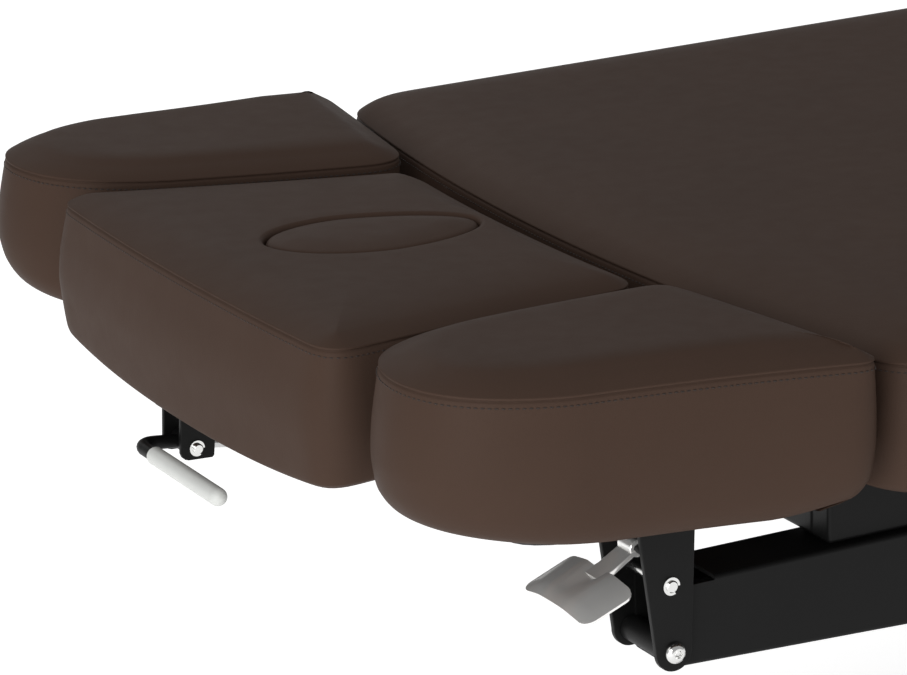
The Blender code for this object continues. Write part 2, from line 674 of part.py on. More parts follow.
def build_lift(lift):
    """Sliding columns, the upper frame and the seat."""
    inset = COLUMN_WALL + COLUMN_SLIDE_GAP
    half = Vector((COLUMN_LENGTH_X / 2 - inset, COLUMN_WIDTH_Y / 2 - inset))
    bottom = BASE_TOP + COLUMN_WALL + COLUMN_BOTTOM_ROOM
    for end, x in (("head", COLUMN_HEAD_X), ("foot", COLUMN_FOOT_X)):
        inner = side_box((x - half.x, x + half.x), (-half.y, half.y), (bottom, TOP_CROSS_BOTTOM - GAP))
        add_object("column_inner_" + end, inner, "steel", lift)
    add_object("top_frame", top_frame_bmesh(), "black_paint", lift)
    outline = slab_outline(SEAT_FRONT_X, SEAT_REAR_X, SLAB_CORNER, SLAB_CORNER)
    add_object("seat_board", board_bmesh(outline, DECK_HEIGHT - GAP), "board", lift)
    add_object("seat_pad", pad_bmesh(outline, DECK_HEIGHT, MAIN_PAD_HEIGHT), "leather", lift, smooth=True)


def top_frame_bmesh():
    """Upper rails with seat risers, crosses on the columns, back hinge plates and the actuators' anchors."""
    top, under = RAIL_TOP, TOP_RAIL_BOTTOM
    half, half_cross = RAIL_WIDTH / 2, TOP_CROSS_LENGTH / 2
    rail_in, rail_out = TOP_RAIL_Y - half, TOP_RAIL_Y + half
    plate_y = MAIN_HALF + BULGE + HINGE_PLATE_CLEAR + HINGE_PLATE + GAP
    plate_end = plate_y + HINGE_PLATE
    tie_front = BACK_HINGE.x + 0.035
    tie_rear = tie_front + CROSS_WIDTH
    rear = SEAT_REAR_X + 0.040
    half_hinge = HINGE_PLATE_LENGTH / 2
    pieces = []
    for s in (-1, 1):
        pieces += [
            side_box((COLUMN_HEAD_X - 0.110, rear), (s * rail_in, s * rail_out), (under, TOP_RAIL_TOP)),
            side_box((SEAT_FRONT_X + 0.030, rear - STEP), (s * (rail_in + STEP), s * (rail_out - STEP)),
                     (under + 0.010, top)),
            side_box((tie_front, tie_rear), (s * (rail_in + 2 * STEP), s * plate_end),
                     (top - 0.034, top - 0.004)),
            side_box((BACK_HINGE.x - half_hinge, tie_rear - STEP), (s * plate_y, s * plate_end),
                     (top - 0.036, BACK_HINGE.z + half_hinge)),
        ]
    pieces += [side_box((x - half_cross, x + half_cross), (STEP - rail_out, rail_out - STEP),
                        (TOP_CROSS_BOTTOM, under + 0.004)) for x in (COLUMN_HEAD_X, COLUMN_FOOT_X)]
    pieces += lug_plates(BACK_ANCHOR, -ACTUATOR_Y, (BACK_ANCHOR.x - EYE_RADIUS, BACK_ANCHOR.z - EYE_RADIUS),
                         (COLUMN_FOOT_X - 0.010, BACK_ANCHOR.z + EYE_RADIUS))
    pieces += lug_plates(LEG_ANCHOR, ACTUATOR_Y, (COLUMN_HEAD_X + 0.012, LEG_ANCHOR.z - EYE_RADIUS),
                         (LEG_ANCHOR.x + EYE_RADIUS, LEG_ANCHOR.z + EYE_RADIUS))
    hanger = EYE_WIDTH / 2 + GAP + LUG_THICKNESS + 0.004
    pieces.append(side_box((COLUMN_HEAD_X + 0.003, COLUMN_HEAD_X + 0.021),
                           (ACTUATOR_Y - hanger, ACTUATOR_Y + hanger),
                           (LEG_ANCHOR.z - 0.010, TOP_CROSS_BOTTOM + 0.010)))
    bores = [long_bore(LEG_HINGE, HINGE_BOLT_RADIUS), long_bore(BACK_HINGE, HINGE_BOLT_RADIUS)]
    return cut(weld(pieces), bores)


def build_back(back):
    """Back frame, board, cushion, hinge pins and the arm beams."""
    add_object("back_frame", back_frame_bmesh(), "black_paint", back)
    outline = back_outline()
    add_object("back_board", board_bmesh(outline, DECK_HEIGHT - GAP), "board", back)
    add_object("back_pad", pad_bmesh(outline, DECK_HEIGHT, MAIN_PAD_HEIGHT), "leather", back, smooth=True)
    plate_y = MAIN_HALF + BULGE + HINGE_PLATE_CLEAR
    pin_in, pin_out = plate_y - HINGE_PLATE_CLEAR / 2, plate_y + 2 * HINGE_PLATE + 2 * GAP
    for side, s in (("near", -1), ("far", 1)):
        pin = headed_pin(BACK_HINGE, s * pin_in, s * pin_out, 0.004)
        add_object("back_hinge_pin_" + side, pin, "steel", back, smooth=True)
    reach = HEAD_HINGE_Y + KNUCKLE_LENGTH / 2 + GAP + EAR_LENGTH + 0.002
    pin = cross_rod(HEAD_HINGE, -reach, reach, HINGE_PIN_RADIUS)
    add_object("head_hinge_pin", pin, "steel", back, smooth=True)
    for side, s in (("near", -1), ("far", 1)):
        build_beam(side, s * ARM_CENTRE_Y, back)


def back_frame_bmesh():
    """Two rails and their crosses, with hinge plates, head hinge ears, spring anchor and actuator lug."""
    top, under = RAIL_TOP, RAIL_BOTTOM
    half = RAIL_WIDTH / 2
    front_cross = BACK_FRONT_X + 0.040
    rear_cross = BACK_HINGE.x - 0.052
    rear = rear_cross + CROSS_WIDTH
    plate_y = MAIN_HALF + BULGE + HINGE_PLATE_CLEAR
    plate_end = plate_y + HINGE_PLATE
    half_hinge = HINGE_PLATE_LENGTH / 2
    ear_inner = HEAD_HINGE_Y + KNUCKLE_LENGTH / 2 + GAP
    ear_outer = ear_inner + EAR_LENGTH
    lug_cross = BACK_LUG.x - 0.030
    pieces = []
    for s in (-1, 1):
        pieces += [
            side_box((front_cross, rear), (s * (ARM_CENTRE_Y - half), s * (ARM_CENTRE_Y + half)), (under, top)),
            side_box((rear_cross, rear - STEP), (s * ARM_CENTRE_Y, s * plate_end), (top - 0.034, top - 0.004)),
            side_box((rear_cross + STEP, BACK_HINGE.x + half_hinge), (s * plate_y, s * plate_end),
                     (top - 0.036, BACK_HINGE.z + half_hinge)),
            cross_rod(HEAD_HINGE, s * ear_inner, s * ear_outer, KNUCKLE_RADIUS, 20),
            side_box((HEAD_HINGE.x, front_cross + 0.010), (s * ear_inner, s * ear_outer),
                     (HEAD_HINGE.z - KNUCKLE_RADIUS * 0.9, HEAD_HINGE.z + KNUCKLE_RADIUS * 0.5)),
        ]
    pieces += [side_box((x - STEP, x + CROSS_WIDTH), (-ARM_CENTRE_Y, ARM_CENTRE_Y), (under + STEP, top - STEP))
               for x in (front_cross, lug_cross)]
    pieces += lug_plates(HEAD_ANCHOR, HEAD_SPRING_Y, (HEAD_ANCHOR.x - EYE_RADIUS, HEAD_ANCHOR.z - EYE_RADIUS),
                         (HEAD_ANCHOR.x + EYE_RADIUS, under + 0.010))
    pieces += lug_plates(BACK_LUG, -ACTUATOR_Y, (lug_cross + 0.005, BACK_LUG.z - EYE_RADIUS),
                         (BACK_LUG.x + EYE_RADIUS, BACK_LUG.z + EYE_RADIUS))
    bores = [long_bore(HEAD_HINGE, HINGE_PIN_RADIUS), long_bore(BACK_HINGE, HINGE_BOLT_RADIUS)]
    return cut(weld(pieces), bores)


def beam_bottom(x):
    """The arm beam's sloping underside at a place along X."""
    return BEAM_TOP - BEAM_HEIGHT - BEAM_TAPER * (x - BEAM_FRONT_X)


def beam_side(front, rear, wall):
    """The arm beam's side view between two places, drawn in by a wall thickness."""
    top = BEAM_TOP - wall
    return [(front, top), (rear, top), (rear, beam_bottom(rear) + wall), (front, beam_bottom(front) + wall)]


def build_beam(side, y, back):
    """A tapered tube under the back frame, with a pivot sleeve on its open nose and a gas spring inside."""
    front, rear = BEAM_FRONT_X, BEAM_FRONT_X + BEAM_LENGTH
    half, wall = BEAM_WIDTH / 2, BEAM_WALL
    shell = plate_bmesh(beam_side(front, rear, 0), y - half, y + half)
    inside = plate_bmesh(beam_side(front - wall, rear + wall, wall), y - half + wall, y + half - wall)
    notch_end = front + BEAM_NOTCH_LENGTH
    notch = plate_bmesh([(front - wall, BEAM_TOP + wall), (front - wall, BEAM_TOP - BEAM_NOTCH_DEPTH / 3),
                         (notch_end - wall, BEAM_TOP - BEAM_NOTCH_DEPTH), (notch_end, BEAM_TOP + wall)],
                        y - half - wall, y + half + wall)
    sleeve = cross_rod(ARM_PIVOT, y - half, y + half, SLEEVE_RADIUS, 20)
    beam = cut(weld([cut(shell, [inside, notch]), sleeve]), [pin_bore(ARM_PIVOT, y, PIVOT_BOLT_RADIUS)])
    add_object("arm_beam_" + side, beam, "black_paint", back)
    level = ARM_PIVOT.z + LOCK_PIN_RISE - ARM_SPRING_DROP
    start = ARM_PIVOT.x + ARM_SPRING_SETBACK
    end = start + ARM_SPRING_LENGTH
    tube = rod_bmesh((start, y, level), (end, y, level), SPRING_RADIUS, 20)
    bush_end = start + ARM_ROD_INSERT + ROD_RADIUS
    bush = rod_bmesh((start - ROD_RADIUS, y, level), (bush_end, y, level), ROD_RADIUS + GAP)
    shoe_front, shoe_rear = end - 0.040, end - 0.010
    floor = [beam_bottom(x) + wall + GAP for x in (shoe_front, shoe_rear)]
    shoe = plate_bmesh([(shoe_front, level), (shoe_rear, level), (shoe_rear, floor[1]), (shoe_front, floor[0])],
                       y - SPRING_RADIUS - STEP, y + SPRING_RADIUS + STEP)
    add_object("arm_gas_spring_" + side, cut(weld([tube, shoe]), [bush]), "black_paint", back, smooth=True)


def build_arm(side, s, arm, rod, paddle):
    """One arm section: cushion, board, two-plate bracket, bolt, lock pin, spring rod and release paddle."""
    y = s * ARM_CENTRE_Y
    outline = shifted(arm_outline(s), -ARM_LEAN)
    pad = pad_bmesh(outline, ARM_BOTTOM, ARM_PAD_HEIGHT, ARM_BULGE)
    pad = raise_nose(pad, ARM_FRONT_X - ARM_LEAN, ARM_BOTTOM, ARM_PAD_HEIGHT)
    add_object("arm_pad_" + side, pad, "leather", arm, smooth=True)
    board = board_bmesh(outline, ARM_BOTTOM - GAP, ARM_BOARD_FRONT, BOARD_REAR_SETBACK, ARM_BOARD_SIDE)
    add_object("arm_board_" + side, board, "board", arm)
    top = ARM_BOTTOM - GAP - BOARD_THICKNESS - GAP
    foot = PLATE_FOOT_RADIUS
    arc = [(ARM_PIVOT.x + foot * math.cos(a), ARM_PIVOT.z + foot * math.sin(a))
           for a in (math.radians(d) for d in range(180, 361, 30))]
    plate = [(ARM_PIVOT.x - PLATE_TOP_FRONT, top)] + arc + [(ARM_PIVOT.x + PLATE_TOP_REAR, top)]
    inner, flange = PLATE_OUTER - PLATE_THICKNESS, PLATE_OUTER + PLATE_FLANGE
    paddle_pin = ARM_PIVOT + Vector((PADDLE_PIVOT_SHIFT, 0, PADDLE_PIVOT_RISE))
    lock = ARM_PIVOT + Vector((LOCK_PIN_SHIFT, 0, LOCK_PIN_RISE))
    pin_reach = inner + PLATE_THICKNESS / 2
    pieces = [plate_bmesh(plate, y + inner, y + PLATE_OUTER), plate_bmesh(plate, y - PLATE_OUTER, y - inner),
              side_box((ARM_PIVOT.x - FLANGE_FRONT, ARM_PIVOT.x + FLANGE_REAR), (y - flange, y + flange),
                       (top - PLATE_THICKNESS, top - STEP / 10)),
              cross_rod(paddle_pin, y - pin_reach, y + pin_reach, PADDLE_PIN_RADIUS, 12)]
    bores = [pin_bore(ARM_PIVOT, y, PIVOT_BOLT_RADIUS), pin_bore(lock, y, LOCK_PIN_RADIUS)]
    add_object("arm_bracket_" + side, cut(weld(pieces), bores), "black_paint", arm)
    out = PLATE_OUTER + GAP
    reach = out + BOLT_HEAD_HEIGHT / 2
    shaft = cross_rod(ARM_PIVOT, y - reach, y + reach, PIVOT_BOLT_RADIUS)
    bolt_end = out + BOLT_HEAD_HEIGHT
    ends = [cross_rod(ARM_PIVOT, y + e * out, y + e * bolt_end, BOLT_HEAD_RADIUS) for e in (-1, 1)]
    add_object("arm_pivot_bolt_" + side, weld(ends + [shaft]), "chrome", arm, smooth=True)
    add_object("arm_lock_pin_" + side, cross_rod(lock, y - reach, y + reach, LOCK_PIN_RADIUS), "chrome", arm,
               smooth=True)
    build_paddle(side, y, paddle_pin, paddle)
    level = lock.z - ARM_SPRING_DROP
    rod_end = ARM_PIVOT.x + ARM_SPRING_SETBACK + ARM_ROD_INSERT
    spring_rod = rod_bmesh((lock.x + ARM_ROD_CLEARANCE, y, level), (rod_end, y, level), ROD_RADIUS)
    add_object("arm_spring_rod_" + side, spring_rod, "steel", rod, smooth=True)


def build_paddle(side, y, pin, paddle):
    """A stamped release paddle: a sloped plate on a narrow stem that turns on a pin in the bracket."""
    neck = pin - Vector((STEM_REACH, 0, STEM_DROP))
    tip = neck - Vector((PADDLE_DEPTH * math.cos(PADDLE_SLOPE), 0, PADDLE_DEPTH * math.sin(PADDLE_SLOPE)))
    sheet = PADDLE_SHEET
    blade = plate_bmesh([(neck.x, neck.z), (tip.x, tip.z), (tip.x, tip.z - sheet), (neck.x, neck.z - sheet)],
                        y - PADDLE_WIDTH / 2, y + PADDLE_WIDTH / 2)
    half = STEM_WIDTH / 2
    stem = plate_bmesh([(pin.x, pin.z + STEP), (neck.x - 0.010, neck.z - 0.004),
                        (neck.x - 0.008, neck.z - 0.008), (pin.x + STEP, pin.z - sheet - STEP)],
                       y - half, y + half)
    eye = cross_rod(pin, y - half + STEP, y + half - STEP, PADDLE_PIN_RADIUS + GAP + 0.003)
    body = cut(weld([blade, stem, eye]), [pin_bore(pin, y, PADDLE_PIN_RADIUS)])
    add_object("arm_paddle_" + side, body, "chrome", paddle)


def build_head(head, lever, plug):
    """Head section: cushion with its face opening, plug, board, hinge leaf, lever bracket and lever."""
    outline = shifted(head_outline(), -HEAD_LEAN)
    pad = cut(pad_bmesh(outline, HEAD_BOTTOM, HEAD_PAD_HEIGHT), [face_hole()])
    add_object("head_pad", pad, "leather", head, smooth=True)
    board_top = HEAD_BOTTOM - GAP
    add_object("head_board", cut(board_bmesh(outline, board_top), [face_hole()]), "board", head)
    depth = PLUG_DEPTH
    section = [(-0.003, 0), (0, 0.003), (0, depth - 0.008), (-0.002, depth - 0.002), (-0.012, depth + 0.001)]
    plug_bottom = HEAD_BOTTOM + HEAD_PAD_HEIGHT + CROWN - PLUG_SINK - depth
    body = loft_outline(egg_outline(0), section, plug_bottom, 0.6, depth + 0.003)
    add_object("face_plug", body, "leather", plug, smooth=True)
    under = board_top - BOARD_THICKNESS - GAP
    half = KNUCKLE_LENGTH / 2
    pieces = [side_box((HEAD_HINGE.x - LEAF_LENGTH, HEAD_HINGE.x - KNUCKLE_RADIUS * 0.4),
                       (-HEAD_HINGE_Y - half, HEAD_HINGE_Y + half), (under - LEAF_THICKNESS, under))]
    pieces += [cross_rod(HEAD_HINGE, s * HEAD_HINGE_Y - half, s * HEAD_HINGE_Y + half, KNUCKLE_RADIUS, 20)
               for s in (-1, 1)]
    leaf = cut(weld(pieces), [long_bore(HEAD_HINGE, HINGE_PIN_RADIUS)])
    add_object("head_hinge_leaf", leaf, "black_paint", head)
    y = HEAD_SPRING_Y
    inner, outer = CHEEK_SPAN / 2 - CHEEK_THICKNESS, CHEEK_SPAN / 2
    low = LEVER_PIN.z - CHEEK_DROP
    cheek = [(LEVER_PIN.x - 0.0125, under), (LEVER_PIN.x - 0.0125, low + 0.006), (LEVER_PIN.x - 0.007, low),
             (LEVER_PIN.x + 0.0145, low), (LEVER_PIN.x + 0.0165, under)]
    pieces = [plate_bmesh(cheek, y - outer, y - inner), plate_bmesh(cheek, y + inner, y + outer),
              side_box((LEVER_PIN.x - 0.016, LEVER_PIN.x + 0.045), (y - outer - 0.004, y + outer + 0.004),
                       (under - CHEEK_THICKNESS, under - STEP / 10))]
    bracket = cut(weld(pieces), [pin_bore(LEVER_PIN, y, LEVER_PIN_RADIUS)])
    add_object("head_lever_bracket", bracket, "black_paint", head)
    reach = outer + LEVER_PIN_RADIUS
    add_object("head_lever_pin", cross_rod(LEVER_PIN, y - reach, y + reach, LEVER_PIN_RADIUS), "chrome", head,
               smooth=True)
    build_lever(y, lever)


def build_lever(y, lever):
    """A bent rod that turns on the bracket's pin, with a grip on its crossbar."""
    bend, radius = LEVER_BEND, LEVER_ROD_RADIUS
    hub_half = CHEEK_SPAN / 2 - CHEEK_THICKNESS - GAP
    hub = cross_rod(LEVER_PIN, y - hub_half, y + hub_half, LEVER_PIN_RADIUS + 0.004, 20)
    arm_y = y + LEVER_ROD_SHIFT
    reach = rod_bmesh((LEVER_PIN.x, arm_y, LEVER_PIN.z), (bend.x, arm_y, bend.z), radius, 12)
    knee = bmesh.new()
    bmesh.ops.create_uvsphere(knee, u_segments=12, v_segments=8, radius=radius * 1.02)
    bmesh.ops.translate(knee, vec=(bend.x, arm_y, bend.z), verts=knee.verts)
    grip_start = arm_y - GRIP_START
    grip_end = grip_start - GRIP_LENGTH
    bar_end = grip_end + GRIP_CAP
    bar = cross_rod(bend, bar_end, arm_y, radius, 12)
    body = cut(weld([hub, reach, knee, bar]), [pin_bore(LEVER_PIN, y, LEVER_PIN_RADIUS)])
    add_object("head_lever", body, "black_paint", lever, smooth=True)
    grip = cross_rod(bend, grip_end, grip_start, GRIP_RADIUS)
    socket = cross_rod(bend, bar_end - GAP, arm_y, radius + GAP, 12)
    add_object("head_lever_grip", cut(grip, [socket]), "grip", lever, smooth=True)


def strut(names, pins, y, sizes, parent):
    """A spring or actuator: a body with an eye on its anchor pin, and a rod that ends short of its target pin.

    The sizes are body length and radius, rod radius, where the rod starts, its room to slide in, the gap
    before the target pin, and the motor's length or 0.
    """
    anchor, target = pins
    length, radius, rod_radius, insert, room, clearance, motor = sizes
    along = (target - anchor).normalized()
    place = Vector((0, y, 0))
    start = anchor + place
    shoulder = start + along * EYE_SHOULDER
    end = start + along * length
    eye = cross_rod(anchor, y - EYE_WIDTH / 2, y + EYE_WIDTH / 2, EYE_RADIUS, 20)
    neck = rod_bmesh(start, shoulder + along * 0.004, EYE_WIDTH * 0.42, 12)
    pieces = [rod_bmesh(shoulder, end, radius, 20), eye, neck]
    if motor:
        first = start + along * MOTOR_START
        pieces.append(rod_bmesh(first, first + along * motor, MOTOR_RADIUS, 20))
    bores = [rod_bmesh(start + along * (insert - room), end + along * radius, rod_radius + GAP),
             pin_bore(anchor, y, HINGE_PIN_RADIUS)]
    add_object(names[0], cut(weld(pieces), bores), "black_paint", parent, smooth=True)
    tip = target + place - along * clearance
    add_object(names[1], rod_bmesh(start + along * insert, tip, rod_radius), "steel", parent, smooth=True)


def build_leg(leg):
    """Leg frame on its hinge bolts, with board and cushion."""
    top, under = RAIL_TOP, RAIL_BOTTOM
    half = RAIL_WIDTH / 2
    front, rear = LEG_HINGE.x - 0.020, LEG_REAR_X - 0.110
    pieces = [side_box((front, rear), (y - half, y + half), (under, top)) for y in (-LEG_RAIL_Y, LEG_RAIL_Y)]
    for x in (LEG_LUG.x, rear - CROSS_WIDTH - STEP):
        pieces.append(side_box((x, x + CROSS_WIDTH), (-LEG_RAIL_Y, LEG_RAIL_Y), (under + STEP, top - STEP)))
    pieces += lug_plates(LEG_LUG, ACTUATOR_Y, (LEG_LUG.x - EYE_RADIUS, LEG_LUG.z - EYE_RADIUS),
                         (LEG_LUG.x + EYE_RADIUS, under + 0.010))
    frame = cut(weld(pieces), [long_bore(LEG_HINGE, HINGE_BOLT_RADIUS)])
    add_object("leg_frame", frame, "black_paint", leg)
    outline = slab_outline(LEG_FRONT_X, LEG_REAR_X, SLAB_CORNER, FOOT_CORNER)
    add_object("leg_board", board_bmesh(outline, DECK_HEIGHT - GAP), "board", leg)
    add_object("leg_pad", pad_bmesh(outline, DECK_HEIGHT, MAIN_PAD_HEIGHT), "leather", leg, smooth=True)
    inside, outside = TOP_RAIL_Y - half - 0.004, LEG_RAIL_Y + half + GAP
    for side, s in (("near", -1), ("far", 1)):
        bolt = headed_pin(LEG_HINGE, s * inside, s * outside, 0.005)
        add_object("leg_hinge_bolt_" + side, bolt, "steel", leg, smooth=True)


def build_struts(lift, back):
    """Head gas spring, back actuator and leg actuator, each a body and a sliding rod."""
    head_target = tilted(LEVER_PIN, HEAD_HINGE, HEAD_TILT)
    swing = axis_empty("head_spring_axis", HEAD_ANCHOR + Vector((0, HEAD_SPRING_Y, 0)), back)
    strut(("head_gas_spring", "head_spring_rod"), (HEAD_ANCHOR, head_target), HEAD_SPRING_Y,
          (HEAD_SPRING_BODY, SPRING_RADIUS, ROD_RADIUS, HEAD_ROD_INSERT, HEAD_ROD_ROOM,
           HEAD_ROD_CLEARANCE, 0), swing)
    swing = axis_empty("back_actuator_axis", BACK_ANCHOR + Vector((0, -ACTUATOR_Y, 0)), lift)
    strut(("back_actuator", "back_actuator_rod"), (BACK_ANCHOR, BACK_LUG), -ACTUATOR_Y,
          (BACK_ACTUATOR_BODY, ACTUATOR_RADIUS, ACTUATOR_ROD_RADIUS, BACK_ROD_INSERT, BACK_ROD_ROOM,
           ACTUATOR_ROD_CLEARANCE, MOTOR_LENGTH), swing)
    swing = axis_empty("leg_actuator_axis", LEG_ANCHOR + Vector((0, ACTUATOR_Y, 0)), lift)
    strut(("leg_actuator", "leg_actuator_rod"), (LEG_ANCHOR, LEG_LUG), ACTUATOR_Y,
          (LEG_ACTUATOR_BODY, ACTUATOR_RADIUS, ACTUATOR_ROD_RADIUS, LEG_ROD_INSERT, LEG_ROD_ROOM,
           ACTUATOR_ROD_CLEARANCE, MOTOR_LENGTH), swing)


def main():
    build_base()
    lift = axis_empty("lift_axis", (0, 0, 0))
    build_lift(lift)
    back = axis_empty("back_axis", BACK_HINGE, lift)
    build_back(back)
    leg = axis_empty("leg_axis", LEG_HINGE, lift)
    build_leg(leg)
    build_struts(lift, back)
    head = axis_empty("head_axis", HEAD_HINGE, back)
    lever = axis_empty("head_lever_axis", LEVER_PIN + Vector((0, HEAD_SPRING_Y, 0)), head)
    plug = axis_empty("face_plug_axis", (FRONT_X + PLUG_SETBACK + PLUG_LENGTH / 2, 0, HEAD_BOTTOM), head)
    build_head(head, lever, plug)
    head.rotation_euler = (0, HEAD_TILT, 0)
    for side, s in (("near", -1), ("far", 1)):
        pivot = ARM_PIVOT + Vector((0, s * ARM_CENTRE_Y, 0))
        arm = axis_empty("arm_axis_" + side, pivot, back)
        paddle_place = pivot + Vector((PADDLE_PIVOT_SHIFT, 0, PADDLE_PIVOT_RISE))
        paddle = axis_empty("arm_paddle_axis_" + side, paddle_place, arm)
        build_arm(side, s, arm, back, paddle)
        arm.rotation_euler = (0, ARM_TILT, 0)
    bpy.context.view_layer.update()


clear_scene()
PARTS = new_collection("facial_bed")
CUTTERS = new_collection("cutters")
main()
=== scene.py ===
"""Looks of the facial bed: cushions, stitching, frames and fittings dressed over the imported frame."""
import json
import math

import bmesh
import bpy
from bpy.props import FloatProperty, FloatVectorProperty, PointerProperty
from mathutils import Matrix, Vector


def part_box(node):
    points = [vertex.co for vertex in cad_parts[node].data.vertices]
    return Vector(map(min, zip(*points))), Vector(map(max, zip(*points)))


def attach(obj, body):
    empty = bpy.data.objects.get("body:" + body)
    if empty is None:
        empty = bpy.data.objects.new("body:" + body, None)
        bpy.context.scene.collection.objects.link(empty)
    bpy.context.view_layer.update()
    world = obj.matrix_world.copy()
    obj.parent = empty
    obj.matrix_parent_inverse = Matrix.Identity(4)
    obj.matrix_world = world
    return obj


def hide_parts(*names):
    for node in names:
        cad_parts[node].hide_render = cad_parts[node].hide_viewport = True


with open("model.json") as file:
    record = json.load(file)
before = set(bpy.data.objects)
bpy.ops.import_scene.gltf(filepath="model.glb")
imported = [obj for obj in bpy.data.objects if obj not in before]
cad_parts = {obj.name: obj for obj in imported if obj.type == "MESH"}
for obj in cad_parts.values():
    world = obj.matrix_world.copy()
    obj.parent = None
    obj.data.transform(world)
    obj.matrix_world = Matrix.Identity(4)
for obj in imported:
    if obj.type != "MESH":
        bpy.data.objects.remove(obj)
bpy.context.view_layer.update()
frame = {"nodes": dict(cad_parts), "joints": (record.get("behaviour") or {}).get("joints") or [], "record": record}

bl_info = {
    "name": "Facial bed",
    "version": (1, 0, 0),
    "blender": (4, 5, 0),
    "location": "View3D > Sidebar > Facial bed",
    "description": "Dresses the facial bed's frame with cushions, stitching, metal fittings and finishes",
    "category": "Object",
}

# Joints of the frame and levels, in metres
JOINTS = {joint["name"]: joint for joint in frame["joints"]}
HEAD_HINGE = Vector(JOINTS["head_tilt"]["pos_m"])
BACK_HINGE = Vector(JOINTS["back_raise"]["pos_m"])
LEG_HINGE = Vector(JOINTS["leg_lower"]["pos_m"])
ARM_PIVOT = {side: Vector(JOINTS["arm_%s_tilt" % side]["pos_m"]) for side in ("near", "far")}
SIDES = {"near": -1, "far": 1}
TILT = math.radians(2.7)
GAP = 0.0003
DECK_HEIGHT = 0.560
BOARD_THICKNESS = 0.012

# Deck cushions
MAIN_HALF = 0.419
MAIN_PAD_HEIGHT = 0.093
MAIN_ROLL = 0.40
PAD_SIDE = 0.007
SLAB_CORNER = 0.025
FOOT_CORNER = 0.070
BACK_FRONT_BOW = 0.040
BACK_SHOULDER = 0.045
BACK_SHOULDER_LENGTH = 0.060
BACK_FRONT_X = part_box("back_pad")[0].x + PAD_SIDE
BACK_REAR_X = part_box("back_pad")[1].x - PAD_SIDE
SEAT_FRONT_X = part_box("seat_pad")[0].x + PAD_SIDE
SEAT_REAR_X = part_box("seat_pad")[1].x - PAD_SIDE
LEG_FRONT_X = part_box("leg_pad")[0].x + PAD_SIDE
LEG_REAR_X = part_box("leg_pad")[1].x - PAD_SIDE

# Head cushion
FRONT_X = -0.958
HEAD_PAD_HEIGHT = 0.104
HEAD_BOTTOM = HEAD_HINGE.z + 0.0195
HEAD_LENGTH = 0.280
HEAD_FRONT_HALF = 0.2265
HEAD_REAR_HALF = 0.175
HEAD_FRONT_BOW = 0.017
HEAD_REAR_HOLLOW = 0.006
HEAD_NOSE_INSET = 0.0215
HEAD_CORNER_RUN = 0.026
HEAD_REAR_RUN = 0.020
HEAD_REAR_ROUND = 0.025
HEAD_SIDE_CURVE = 0.35
HEAD_ROLL = 0.38
HEAD_SAG = 0.006
HEAD_SAG_LENGTH = 0.060
HEAD_CORNER_LIFT = 0.006
HEAD_CORNER_X = FRONT_X + HEAD_FRONT_BOW
HEAD_REAR_X = FRONT_X + HEAD_LENGTH
HEAD_LEAN = (HEAD_BOTTOM + HEAD_PAD_HEIGHT - HEAD_HINGE.z) * math.sin(TILT)

# Face plug and its opening
PLUG_LENGTH = 0.170
PLUG_HALF_WIDTH = 0.048
PLUG_SETBACK = 0.074
PLUG_DEPTH = 0.064
PLUG_SINK = 0.0008
PLUG_POINT = 0.16
PLUG_MIDDLE = 0.46
PLUG_CROWN = 0.0026
PLUG_FULLNESS = 2.2
PLUG_STEPS = 8
EGG_POINTS = 120
OPENING_MARGIN = 0.0048
OPENING_REACH = 0.085
OPENING_STEPS = 12
OPENING_LIP = [(0.0012, 0.0002), (0.0023, 0.0008), (0.0032, 0.0018), (0.0038, 0.0032), (0.0041, 0.0055)]
OPENING_WALL = 0.0042

# Arm cushions
ARM_PAD_HEIGHT = 0.110
ARM_LENGTH = 0.317
ARM_FRONT_SETBACK = 0.011
ARM_OUTER_HALF = 0.402
ARM_HEAD_GAP = 0.0155
ARM_GAP_FLARE = 0.003
ARM_INNER_PLACES = (0.090, 0.165, 0.250)
ARM_NOSE_Y = 0.318
ARM_NOSE_LENGTH = 0.130
ARM_NOSE_RISE = 0.012
ARM_NOSE_SKEW = 0.014
ARM_TAIL_LENGTH = 0.070
ARM_TAIL_RISE = 0.013
ARM_RISE_POWER = 1.5
ARM_OUTER_CROWN = 0.0045
ARM_BULGE_SHARE = 0.80
ARM_INNER_SLIM = 0.7
ARM_REAR_SLIM = 0.6
ARM_FRONT_SWELL = 0.15
ARM_CENTRE_Y = abs(ARM_PIVOT["near"].y)
ARM_LEAN = (DECK_HEIGHT + ARM_PAD_HEIGHT - ARM_PIVOT["near"].z) * math.sin(TILT)

# Sections of every cushion
OUTLINE_STEP = 0.007
PROFILE_STEPS = 5
CROWN_FULLNESS = 5.0
CROWN_REACH = 0.105
CROWN_BLEND = 0.010
SPINE_SHARE = 0.8
TOP_STEPS = 14
SEAM_LIP = 0.0018
ROLLED_EDGE = (0.0008, 0.002, 0.0036, 0.0056, 0.008, 0.011, 0.0145, 0.0185)
STITCH_SHARE = 0.34

# Arm brackets
PLATE_THICKNESS = 0.005
PLATE_FLANGE = 0.004
FLANGE_FRONT = 0.060
FLANGE_REAR = 0.050
PLATE_TOP_FRONT = 0.031
PLATE_TOP_REAR = 0.014
PLATE_FOOT_RADIUS = 0.014

